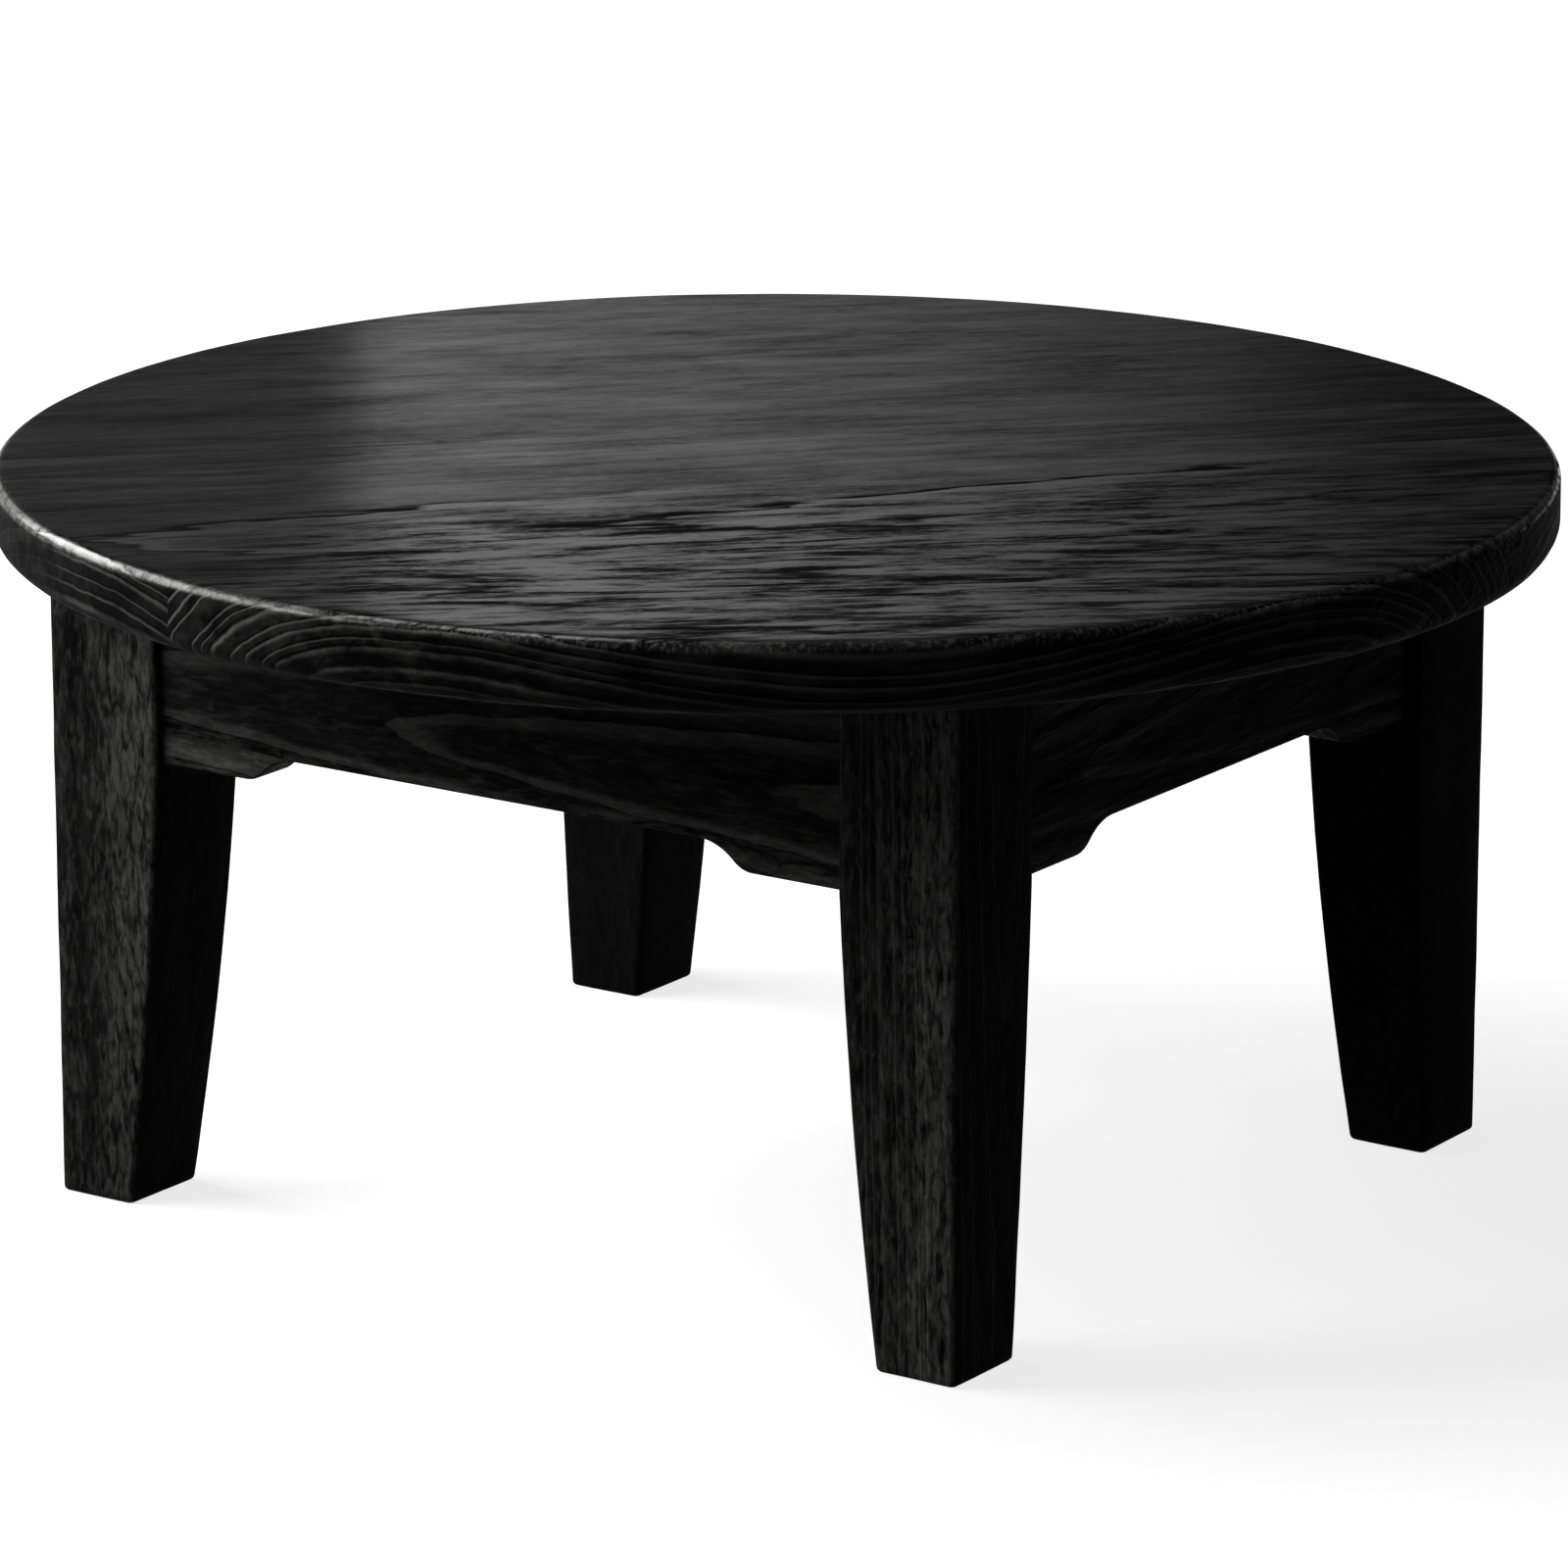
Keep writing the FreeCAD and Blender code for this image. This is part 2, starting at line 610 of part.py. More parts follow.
def make_button(name, turn, place):
    """One turn button, hung a clearance below the top."""
    body = new_body(f"turn_button_{name}")
    top, bottom = "-button_clearance", f"(button_clearance - {GROOVE_BOTTOM})"
    tongue_top = "(-groove_top_shoulder - button_clearance)"
    half = "(button_width / 2)"
    side = outline(body, f"{body.Name}_side", "YZ_Plane", [[
        ("-button_reach", bottom), ("button_tail", bottom), ("button_tail", top),
        ("-button_shoulder", top), ("-button_shoulder", tongue_top), ("-button_reach", tongue_top),
    ]], f"-{half}")
    pad(body, side, "button_width")
    tail, tip = value("button_tail"), -value("button_reach")

    def corner_edge(edge):
        middle = edge.CenterOfMass
        at_end = min(abs(middle.y - tail), abs(middle.y - tip)) < TOLERANCE
        return at_end and edge.BoundBox.ZLength > TOLERANCE
    dress(body, "Chamfer", "Size", "button_corner", corner_edge)
    hole = circles(body, f"{body.Name}_hole", "XY_Plane", [("0", "0")], "(screw_radius + pivot_clearance)")
    pocket(body, hole, f"{GROOVE_BOTTOM} + overrun")
    put(body, (*place, UNDERSIDE), turn)
    return body


def make_buttons():
    """All turn buttons and the screws that they turn on."""
    made, screws = [], []
    for name, turn, place in button_axes():
        made.append(make_button(name, turn, place))
        screws.append(screw_parts(f"button_screw_{name}", f"({GROOVE_BOTTOM} + button_screw_bite)",
                                  (*place, f"{UNDERSIDE} - {GROOVE_BOTTOM}")))
    return made + [group("button_screws", screws)]


def check(sub_parts):
    """Stop if any object failed or any sub-part has no valid shape."""
    for thing in doc.Objects:
        if {"Invalid", "Error"} & set(thing.State):
            raise RuntimeError(f"{thing.Name} is {thing.State}")
    for part in sub_parts:
        if part.Shape.isNull() or not part.Shape.isValid():
            raise RuntimeError(f"{part.Label} has no valid shape")


sub_parts = make_top()
sub_parts += [make_apron(side, facts) for side, facts in SIDES.items()]
sub_parts += make_corners()
sub_parts += make_buttons()
doc.recompute()
check(sub_parts)
os.makedirs("parts", exist_ok=True)
for part in sub_parts:
    part.Shape.exportStep(f"parts/{part.Label}.step")
    print(f"{part.Label}: {len(part.Shape.Solids)} solid, {part.Shape.Volume:.0f} cubic mm")
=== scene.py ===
"""The finish of a round low table in open-grained wood, stained black, with a solid top and tapered legs."""
import math

import bmesh
import bpy
from mathutils import Euler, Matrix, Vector


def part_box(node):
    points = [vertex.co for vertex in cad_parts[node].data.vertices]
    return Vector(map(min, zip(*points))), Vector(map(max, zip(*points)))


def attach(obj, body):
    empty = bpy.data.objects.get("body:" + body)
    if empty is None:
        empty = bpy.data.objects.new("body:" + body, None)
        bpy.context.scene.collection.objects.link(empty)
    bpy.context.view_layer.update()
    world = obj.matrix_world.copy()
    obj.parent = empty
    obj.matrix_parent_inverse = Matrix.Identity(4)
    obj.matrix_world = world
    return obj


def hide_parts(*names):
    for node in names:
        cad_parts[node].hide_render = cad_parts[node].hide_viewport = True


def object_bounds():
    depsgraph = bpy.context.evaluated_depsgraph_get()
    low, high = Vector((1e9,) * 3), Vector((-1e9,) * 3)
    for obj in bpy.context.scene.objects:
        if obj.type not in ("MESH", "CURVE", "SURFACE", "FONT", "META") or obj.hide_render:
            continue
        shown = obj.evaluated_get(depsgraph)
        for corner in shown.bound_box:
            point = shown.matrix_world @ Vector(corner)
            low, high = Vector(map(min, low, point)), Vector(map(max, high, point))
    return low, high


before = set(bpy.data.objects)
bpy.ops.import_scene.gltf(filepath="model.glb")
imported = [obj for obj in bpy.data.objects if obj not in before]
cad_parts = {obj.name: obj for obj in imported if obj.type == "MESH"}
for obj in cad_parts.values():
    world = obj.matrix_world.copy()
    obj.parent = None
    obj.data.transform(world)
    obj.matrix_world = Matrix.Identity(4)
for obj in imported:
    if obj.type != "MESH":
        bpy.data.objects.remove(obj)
CAD_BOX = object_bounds()


# Legs. Each is one stick of hardwood, square under the top and tapered on its two inner faces down to the
# floor, planed, its arrises eased by hand, stained black and rubbed back so that pale flecks show along
# the grain. Two open mortises, one for each apron, meet inside its head.

LEG_CORNERS = {"leg_left": (-1, -1), "leg_front": (1, -1), "leg_right": (1, 1), "leg_back": (-1, 1)}
LEG_OUTER_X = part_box("leg_front")[1].x
LEG_OUTER_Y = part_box("leg_right")[1].y
LEG_WIDTH = LEG_OUTER_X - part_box("leg_front")[0].x
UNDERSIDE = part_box("leg_front")[1].z
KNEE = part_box("apron_front")[0].z
FOOT_ALONG_X = 0.035
FOOT_ALONG_Y = 0.041
SWELL_ALONG_X = 0.002
SWELL_ALONG_Y = 0.001
LEG_ROUND = 0.003
FOOT_ROUND = 0.002
TAPER_STEPS = 24
HEAD_STEPS = 10
TENON_THICKNESS = 0.010
TENON_TOP = UNDERSIDE - 0.019
TENON_BOTTOM = KNEE + 0.012
# How far in from the outer faces of the legs the tenons lie: of the long aprons and of the short ones.
LONG_TENON_INSET = 0.009
SHORT_TENON_INSET = 0.012
# A corner brace crosses the diagonal of its corner. Along its heel the insets from the leg's two outer faces
# add up to BRACE_HEEL, and along its inner face, on whose middle its screw bears, to BRACE_FACE.
BRACE_HEEL = 0.090
BRACE_THICKNESS = 0.024
BRACE_FACE = BRACE_HEEL + BRACE_THICKNESS * math.sqrt(2)
BRACE_SCREW_INSET = BRACE_FACE / 2
BRACE_SCREW_LEVEL = UNDERSIDE - 0.027
SCREW_HOLE_RADIUS = 0.0021
SCREW_HOLE_LENGTH = 0.050
# How far a cutting block runs past what it cuts, how near a place counts as there, and which points merge.
OVERRUN = 0.005
NEAR = 1e-5
MERGED = 1e-6
# Faces that turn by less than this shade as one, and round holes and shanks have this many sides.
SMOOTH_TURN = math.radians(32)
ROUND_SIDES = 32
# How deep hand planing and wear hollow a face, and how wide the hollows of a leg are.
PLANING_DEPTH = 0.0004
LEG_PLANING = 0.030
# Where the pith of a leg's log passes, beside the leg, and where along X its flecks begin and are at their
# most, before and past the middle of the leg.
LEG_PITH_X = 0.245
LEG_PITH_Y = 0.155
FLECKS_MIDDLE = 0.182
FLECKS_BEFORE = 0.012
FLECKS_PAST = 0.018
# How dark the stain is in the pores, and how pale on the summer wood of the near legs and of the far ones,
# whose summer wood is made darker as painted shade.
STAIN_BLACK = 0.003
NEAR_LEG_PALE = 0.022
FAR_LEG_PALE_IN_PAINTED_SHADE = 0.008


class Tone:
    """One value of a material, wrapped so that sums of values read as plain formulas."""

    def __init__(self, socket):
        self.socket = socket

    def node(self, kind, inputs, output=0, **settings):
        """Add a node to this value's material: its settings first, then its sockets by name or number."""
        tree = self.socket.id_data
        made = tree.nodes.new(kind)
        for name, setting in settings.items():
            setattr(made, name, setting)
        for key, value in inputs.items():
            if isinstance(value, Tone):
                tree.links.new(value.socket, made.inputs[key])
            else:
                made.inputs[key].default_value = value
        return Tone(made.outputs[output])

    def math(self, operation, *others):
        """A Math node on this value and up to two others."""
        return self.node("ShaderNodeMath", dict(enumerate((self, *others))), operation=operation)

    def __add__(self, other):
        return self.math("ADD", other)

    def __sub__(self, other):
        return self.math("SUBTRACT", other)

    def __mul__(self, other):
        return self.math("MULTIPLY", other)

    def __truediv__(self, other):
        return self.math("DIVIDE", other)

    def __radd__(self, other):
        return self.math("ADD", other)

    def __rsub__(self, other):
        return (self * -1).math("ADD", other)

    def __rmul__(self, other):
        return self.math("MULTIPLY", other)

    def ease(self, low, high, first=0.0, last=1.0):
        """A smooth step from one value to another as this one passes from low to high."""
        return self.node("ShaderNodeMapRange", {"Value": self, "From Min": low, "From Max": high,
                                                "To Min": first, "To Max": last},
                         interpolation_type="SMOOTHSTEP")


def along(place, direction):
    """How far a place lies along a direction."""
    return place.node("ShaderNodeVectorMath", {0: place, 1: direction}, output="Value",
                      operation="DOT_PRODUCT")


def speckle(axes, sizes, detail=2.0, roughness=0.5, warp=0.0):
    """Noise from 0 to 1 whose grains have the given sizes, in metres, along a place's three coordinates."""
    scaled = [axis * (1 / size) for axis, size in zip(axes, sizes)]
    place = axes[0].node("ShaderNodeCombineXYZ", dict(enumerate(scaled)))
    return place.node("ShaderNodeTexNoise", {"Vector": place, "Scale": 1.0, "Detail": detail,
                                             "Roughness": roughness, "Distortion": warp})


# The figures of the wood: how long they are along the grain, and how wide both ways across it.
LOG_BENDS = (0.80, 0.10, 0.10)
RING_WAVES = (0.09, 0.014, 0.014)
FIBRES = (0.075, 0.0120, 0.0120)
STREAKS = (0.040, 0.0058, 0.0058)
FINE_FIBRES = (0.006, 0.0011, 0.0011)
PORES = (0.007, 0.0006, 0.0006)
CLOUDS = (0.090, 0.030, 0.030)
RUBBED_PATCHES = (0.060, 0.009, 0.009)
FLECKS = (0.016, 0.0026, 0.0026)
ARRIS_GRIT = (0.0014, 0.0014, 0.0040)
ARRIS_LUMPS = (0.0045, 0.0045, 0.0045)
# How far the bends of a log and the waves of its growth push a ring aside.
BEND_DEPTH = 0.008
WAVE_DEPTH = 0.0028


def growth_rings(axes, radial, lengthwise, ring_gap, cone):
    """How far through its year's growth each place of a log is, from 0 to 1, and a tint for that year."""
    bend = speckle(axes, LOG_BENDS, detail=1.0) - 0.5
    wave = speckle(axes, RING_WAVES, detail=2.5, roughness=0.6) - 0.5
    radius = radial + bend * BEND_DEPTH + wave * WAVE_DEPTH - lengthwise * cone
    spread = radius.node("ShaderNodeTexNoise",
                         {"W": radius * (1 / (2.4 * ring_gap)), "Scale": 1.0, "Detail": 1.0},
                         noise_dimensions="1D") - 0.5
    count = radius * (1 / ring_gap) + spread * 2.2
    tint = count.node("ShaderNodeTexWhiteNoise", {"W": count.math("FLOOR")}, noise_dimensions="1D")
    return count.math("FRACT"), tint


def rubbed_through(axes, fine, near_edge, turned_out):
    """Flecks where the stain is rubbed off, most near an edge and on the face that is turned out."""
    patch = speckle(axes, RUBBED_PATCHES, detail=1.0) - 0.5
    fleck = speckle(axes, FLECKS, detail=2.5, roughness=0.6, warp=0.7)
    shine = (fleck + patch * 0.28 + near_edge * 0.10 + (fine - 0.5) * 0.22).ease(0.40, 0.82)
    return shine * (near_edge * 0.6 + 0.5) * turned_out


def worn_arris_and_painted_highlight(axes, arris, rise, end_share, ridge, groove):
    """An upper arris made pale, partly as wear, partly as a painted highlight: a band on end grain, specks
    along the grain.
    """
    grit = speckle(axes, ARRIS_GRIT, detail=1.5, roughness=0.6)
    lump = speckle(axes, ARRIS_LUMPS, detail=3.0, roughness=0.65)
    over_ends = end_share.ease(0.36, 0.54)
    worn_band_and_painted_sheen = over_ends * (0.25 + lump.ease(0.36, 0.60) * 0.75 + (grit - 0.5) * 0.5 - groove * 0.5)
    worn_specks_and_painted_glints = (1 - over_ends) * grit.ease(0.48, 0.64) * 0.45
    return arris * rise.ease(0.0, 0.4) * (worn_band_and_painted_sheen + worn_specks_and_painted_glints + ridge * 0.3)


def stained_wood(name, grain, across, depth, pith, ring_gap=0.005, cone=0.01, black=0.003, pale=0.016,
                 relief=1.0, line=1.0, plain_to=-1.0, shorter=1.0, rubbed=0.0, rubbed_from=1.0,
                 rubbed_to=1.1, rubbed_side=(0, -1, 0), wear=0.0, wax=0.0, smooth_to=-1.0):
    """Black stained, open-grained solid wood, cut from a log whose pith runs along the grain.

    pith is where the pith lies along across and depth, the two directions square to the grain, ring_gap the
    mean width of a year's growth and cone how fast the log tapers. black and pale are the lightness of the
    pores and of the hard summer wood, relief how far that stands proud of spring wood and so how strongly
    its ridges on sides and ends are lightened as a painted highlight, line how broad its ridges are along
    the grain, plain_to how far across the grain no ring shows, and shorter how much shorter its streaks are.
    rubbed is how much lighter the stain is where it is rubbed through, most often between two distances
    across the grain and on the face that looks to rubbed_side, and wear how much lighter upper arrises are,
    partly as wear and partly as a painted highlight. wax is the share of a waxed gloss on faces that look
    up, and smooth_to how far across the grain it is planed smooth.
    """
    material = bpy.data.materials.new(name)
    material.use_nodes = True
    tree = material.node_tree
    shader = tree.nodes["Principled BSDF"]
    texture = tree.nodes.new("ShaderNodeTexCoord")
    place = Tone(texture.outputs["Object"])
    facing = Tone(texture.outputs["Normal"])
    lengthwise = along(place, grain)
    crosswise = along(place, across)
    u = lengthwise * shorter
    v = crosswise - pith[0]
    w = along(place, depth) - pith[1]
    axes = (u, v, w)
    rise = along(facing, (0, 0, 1))
    upwards = rise.ease(0.15, 0.60)
    end_share = along(facing, grain).math("ABSOLUTE")
    end_grain = end_share.ease(0.55, 0.95)

    # Each year starts with a line of open spring pores and ends in a ridge of hard summer wood. A face that
    # lies along the rings shows them stretched, but their lines stay thin, and thinner still on end grain.
    radial = (v * v + w * w).math("SQRT")
    year, tint = growth_rings(axes, radial, lengthwise, ring_gap, cone)
    outwards = (along(facing, across) * v + along(facing, depth) * w) / radial
    stretch = (1 - outwards * outwards).math("MAXIMUM", 0.03).math("SQRT")
    after = year / stretch
    before = (1 - year) / stretch
    breadth = end_grain * (0.55 - line) + line
    fibre = speckle(axes, FIBRES, detail=2.0, roughness=0.6, warp=0.5)
    marked = 1 - upwards * v.math("ABSOLUTE").ease(0.022, 0.050, 0.0, 0.85)
    marked = marked * upwards.math("MAXIMUM", crosswise.ease(plain_to - 0.035, plain_to, 0.1, 1.0))
    ridge = before.ease(0.0, 0.10) * (before / breadth).ease(0.16, 0.46, 1.0, 0.0)
    ridge = ridge * fibre.ease(0.25, 0.50, 0.4, 1.0) * marked
    groove = after.ease(0.0, 0.06) * (after / breadth).ease(0.12, 0.36, 1.0, 0.0)
    groove = groove * (0.4 + tint * 0.6) * marked * fibre.ease(0.42, 0.62, 1.0, 0.25)

    # Streaks, fibres and pores are drawn out along the grain.
    streak = speckle(axes, STREAKS, detail=1.8, roughness=0.5, warp=0.6)
    fine = speckle(axes, FINE_FIBRES, detail=2.5, roughness=0.7, warp=0.3)
    pore = speckle(axes, PORES, detail=1.0).ease(0.54, 0.70) * (0.4 + groove * 0.6)
    cloud = speckle(axes, CLOUDS, detail=3.0, roughness=0.6)
    squareness = [along(facing, axis).math("ABSOLUTE") for axis in ((1, 0, 0), (0, 1, 0), (0, 0, 1))]
    squarest = squareness[0].math("MAXIMUM", squareness[1]).math("MAXIMUM", squareness[2])
    arris = squarest.ease(0.82, 0.99, 1.0, 0.0)

    # Lightness: fibres and rings, then a painted highlight on the ridges that show on sides and ends, then
    # rubbing, and arris wear that is partly a painted highlight.
    tone = 0.36 + (streak - 0.5) * 1.0 + (fibre - 0.5) * 0.8 + (fine - 0.5) * 0.4 + ridge * 0.40
    tone = tone + (tint - 0.5) * 0.20 * line - groove * 0.55 - pore * 0.3
    lightness = (black + tone.ease(0.0, 1.0) * (pale - black)) * end_grain.ease(0.0, 1.0, 1.0, 0.6)
    upright = rise.math("ABSOLUTE").ease(0.15, 0.60, 1.0, 0.15)
    # The ridges of sides and ends are made lighter by their relief: a painted highlight where they would
    # catch the light.
    ridge_painted_highlight = ridge * upright * (end_grain * 0.045 + 0.010) * (0.3 + fine * 1.4)
    lightness = lightness + ridge_painted_highlight * relief
    if rubbed:
        near_edge = crosswise.ease(rubbed_from, rubbed_to)
        turned_out = along(facing, rubbed_side).ease(0.3, 0.9, 0.07, 1.0)
        lightness = lightness + rubbed_through(axes, fine, near_edge, turned_out) * rubbed
    # Upper arrises are made paler, partly as wear and partly as a painted highlight where they would catch
    # the light.
    if wear:
        lightness = lightness + worn_arris_and_painted_highlight(axes, arris, rise, end_share, ridge, groove) * wear
    colour = lightness.node("ShaderNodeCombineColor",
                            {0: lightness, 1: lightness * 0.985, 2: lightness * 0.965})
    tree.links.new(colour.socket, shader.inputs["Base Color"])
    rough = 0.72 + pore * 0.15 - ridge * 0.08 + (cloud - 0.5) * 0.12 + (fine - 0.5) * 0.10
    tree.links.new(rough.socket, shader.inputs["Roughness"])
    shader.inputs["Specular IOR Level"].default_value = 0.012

    # Wax lies thin over streaks and pores, and evenly where the wood is planed smooth.
    rough_part = 1.0
    if wax:
        rough_part = crosswise.ease(smooth_to - 0.09, smooth_to, 0.12, 1.0)
        rough_part = rough_part * lengthwise.ease(-0.25, -0.16, 0.2, 1.0)
        uneven = (streak - 0.5) * 3.0 + (fibre - 0.5) * 1.4 + (fine - 0.5) * 1.5 - 0.12
        film = 0.60 + uneven * rough_part
        film = film + (ridge * 0.35 - groove * (rough_part * 0.2 + 0.8)) * min(relief, 1.0) ** 2
        film = film + (cloud - 0.5) * 0.9 + (fine - 0.5) * 0.45 - pore * 0.15
        film = film.ease(0.0, 1.0) * upwards * wax
        tree.links.new(film.socket, shader.inputs["Coat Weight"])
        shader.inputs["Coat Roughness"].default_value = 0.23

    height = ridge * 0.12 + (fibre - 0.5) * 0.70 + (streak - 0.5) * 0.50 + (fine - 0.5) * 0.03
    height = (height - groove * 0.16 - pore * 0.04) * relief * rough_part * arris.ease(0.0, 1.0, 1.0, 0.5)
    bump = height.node("ShaderNodeBump", {"Strength": 1.0, "Distance": 0.001, "Height": height})
    tree.links.new(bump.socket, shader.inputs["Normal"])
    return material


def pick(kind, test):
    """In edit mode, select those faces, edges or verts of the open mesh for which a test holds."""
    bpy.ops.mesh.select_mode(type={"faces": "FACE", "edges": "EDGE", "verts": "VERT"}[kind])
    bpy.ops.mesh.select_all(action="DESELECT")
    mesh = bmesh.from_edit_mesh(bpy.context.edit_object.data)
    for part in getattr(mesh, kind):
        if test(part):
            part.select_set(True)
    mesh.select_flush_mode()
    bmesh.update_edit_mesh(bpy.context.edit_object.data)


def span(edge, axis):
    """How far an edge of the open mesh reaches along x, y or z."""
    return abs(getattr(edge.verts[0].co, axis) - getattr(edge.verts[1].co, axis))


def open_piece(name):
    """Name the primitive just added, fix its size and open it in edit mode."""
    piece = bpy.context.object
    piece.name = name
    bpy.ops.object.transform_apply(location=True, rotation=True, scale=True)
    bpy.ops.object.mode_set(mode="EDIT")
    return piece


def close_piece(piece):
    """Merge what coincides, point all faces outwards and leave edit mode."""
    bpy.ops.mesh.select_all(action="SELECT")
    bpy.ops.mesh.remove_doubles(threshold=MERGED)
    bpy.ops.mesh.normals_make_consistent(inside=False)
    bpy.ops.object.mode_set(mode="OBJECT")


def choose(piece):
    """Make one object the only one selected, and the active one."""
    bpy.ops.object.select_all(action="DESELECT")
    piece.select_set(True)
    bpy.context.view_layer.objects.active = piece


def modify(piece, kind, **settings):
    """Add a modifier and apply it."""
    choose(piece)
    modifier = piece.modifiers.new(kind.title(), kind)
    for name, setting in settings.items():
        setattr(modifier, name, setting)
    bpy.ops.object.modifier_apply(modifier=modifier.name)


def add_block(name, low, high):
    """A rectangular block between two corners, for cutting or joining."""
    bpy.ops.object.select_all(action="DESELECT")
    middle = (Vector(low) + Vector(high)) / 2
    bpy.ops.mesh.primitive_cube_add(size=1, location=middle)
    block = bpy.context.object
    block.name = name
    block.scale = Vector(high) - Vector(low)
    bpy.ops.object.transform_apply(location=True, rotation=True, scale=True)
    return block


def combine(piece, tool, operation):
    """Cut a tool out of a piece or join it on, and throw the tool away."""
    modify(piece, "BOOLEAN", operation=operation, object=tool, solver="EXACT")
    bpy.data.objects.remove(tool)


def hand_planed(piece, size):
    """Hollow a surface slightly, always inwards, as planing, sanding and wear do."""
    texture = bpy.data.textures.new(f"{piece.name}_planing", "CLOUDS")
    texture.noise_scale = size
    texture.noise_depth = 1
    modify(piece, "DISPLACE", texture=texture, texture_coords="GLOBAL", strength=PLANING_DEPTH,
           mid_level=1.0)


def finish_piece(piece, body, slot, material, *nodes):
    """Shade a piece, give it its finish and let it ride on its body in place of CAD nodes."""
    choose(piece)
    bpy.ops.object.shade_smooth_by_angle(angle=SMOOTH_TURN)
    piece.data.materials.clear()
    piece.data.materials.append(material)
    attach(piece, body)
    if nodes:
        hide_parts(*nodes)


def bore(piece, seat, towards, radius, length):
    """Drill a round hole of a given length into a piece, from a seat towards a direction."""
    bpy.ops.object.select_all(action="DESELECT")
    bpy.ops.mesh.primitive_cylinder_add(vertices=ROUND_SIDES, radius=radius, depth=length)
    drill = bpy.context.object
    drill.rotation_mode = "QUATERNION"
    drill.rotation_quaternion = Vector(towards).to_track_quat("Z", "Y")
    drill.location = Vector(seat) + Vector(towards).normalized() * length / 2
    bpy.ops.object.transform_apply(location=True, rotation=True, scale=True)
    combine(piece, drill, "DIFFERENCE")


def brace_screw_seat(side_x, side_y):
    """Where the head of a corner brace's screw bears."""
    return Vector((side_x * (LEG_OUTER_X - BRACE_SCREW_INSET),
                   side_y * (LEG_OUTER_Y - BRACE_SCREW_INSET), BRACE_SCREW_LEVEL))


def chop_mortises(leg, side_x, side_y):
    """Two open mortises, one from each inner face, that meet in the leg."""
    inner_x, inner_y = LEG_OUTER_X - LEG_WIDTH, LEG_OUTER_Y - LEG_WIDTH
    tip_x, tip_y = LEG_OUTER_X - SHORT_TENON_INSET, LEG_OUTER_Y - LONG_TENON_INSET
    for near, far in (((inner_x - OVERRUN, tip_y - TENON_THICKNESS), (tip_x, tip_y)),
                      ((tip_x - TENON_THICKNESS, inner_y - OVERRUN), (tip_x, tip_y))):
        low = Vector((side_x * near[0], side_y * near[1], TENON_BOTTOM))
        high = Vector((side_x * far[0], side_y * far[1], TENON_TOP))
        corners = [[min(pair) for pair in zip(low, high)], [max(pair) for pair in zip(low, high)]]
        combine(leg, add_block("mortise", *corners), "DIFFERENCE")


def taper_width(foot, swell, share):
    """Width of a leg at a share of the height of its tapered length."""
    return foot + (LEG_WIDTH - foot) * share + swell * 4 * share * (1 - share)


def carve_leg(name, side_x, side_y):
    """Extrude a leg up from its foot, widening it about its outer corner."""
    bpy.ops.object.select_all(action="DESELECT")
    outer = Vector((side_x * LEG_OUTER_X, side_y * LEG_OUTER_Y, 0))
    inwards = Vector((-side_x * FOOT_ALONG_X, -side_y * FOOT_ALONG_Y, 0))
    bpy.ops.mesh.primitive_plane_add(size=1, location=outer + inwards / 2)
    bpy.context.object.scale = (FOOT_ALONG_X, FOOT_ALONG_Y, 1)
    leg = open_piece(name.replace("leg", "shaped_leg"))
    pick("faces", lambda face: True)
    widths = (FOOT_ALONG_X, FOOT_ALONG_Y)
    for step in range(1, TAPER_STEPS + 1):
        share = step / TAPER_STEPS
        bpy.ops.mesh.extrude_region_move(TRANSFORM_OT_translate={"value": (0, 0, KNEE / TAPER_STEPS)})
        new_widths = (taper_width(FOOT_ALONG_X, SWELL_ALONG_X, share),
                      taper_width(FOOT_ALONG_Y, SWELL_ALONG_Y, share))
        ratios = (new_widths[0] / widths[0], new_widths[1] / widths[1], 1)
        bpy.ops.transform.resize(value=ratios, center_override=outer + Vector((0, 0, KNEE * share)))
        widths = new_widths
    for step in range(HEAD_STEPS):
        bpy.ops.mesh.extrude_region_move(
            TRANSFORM_OT_translate={"value": (0, 0, (UNDERSIDE - KNEE) / HEAD_STEPS)})
    pick("edges", lambda edge: span(edge, "z") > FOOT_ROUND)
    bpy.ops.mesh.bevel(offset=LEG_ROUND, segments=4, affect="EDGES")
    pick("edges", lambda edge: max(vert.co.z for vert in edge.verts) < FOOT_ROUND)
    bpy.ops.mesh.bevel(offset=FOOT_ROUND, segments=3, affect="EDGES")
    close_piece(leg)
    return leg


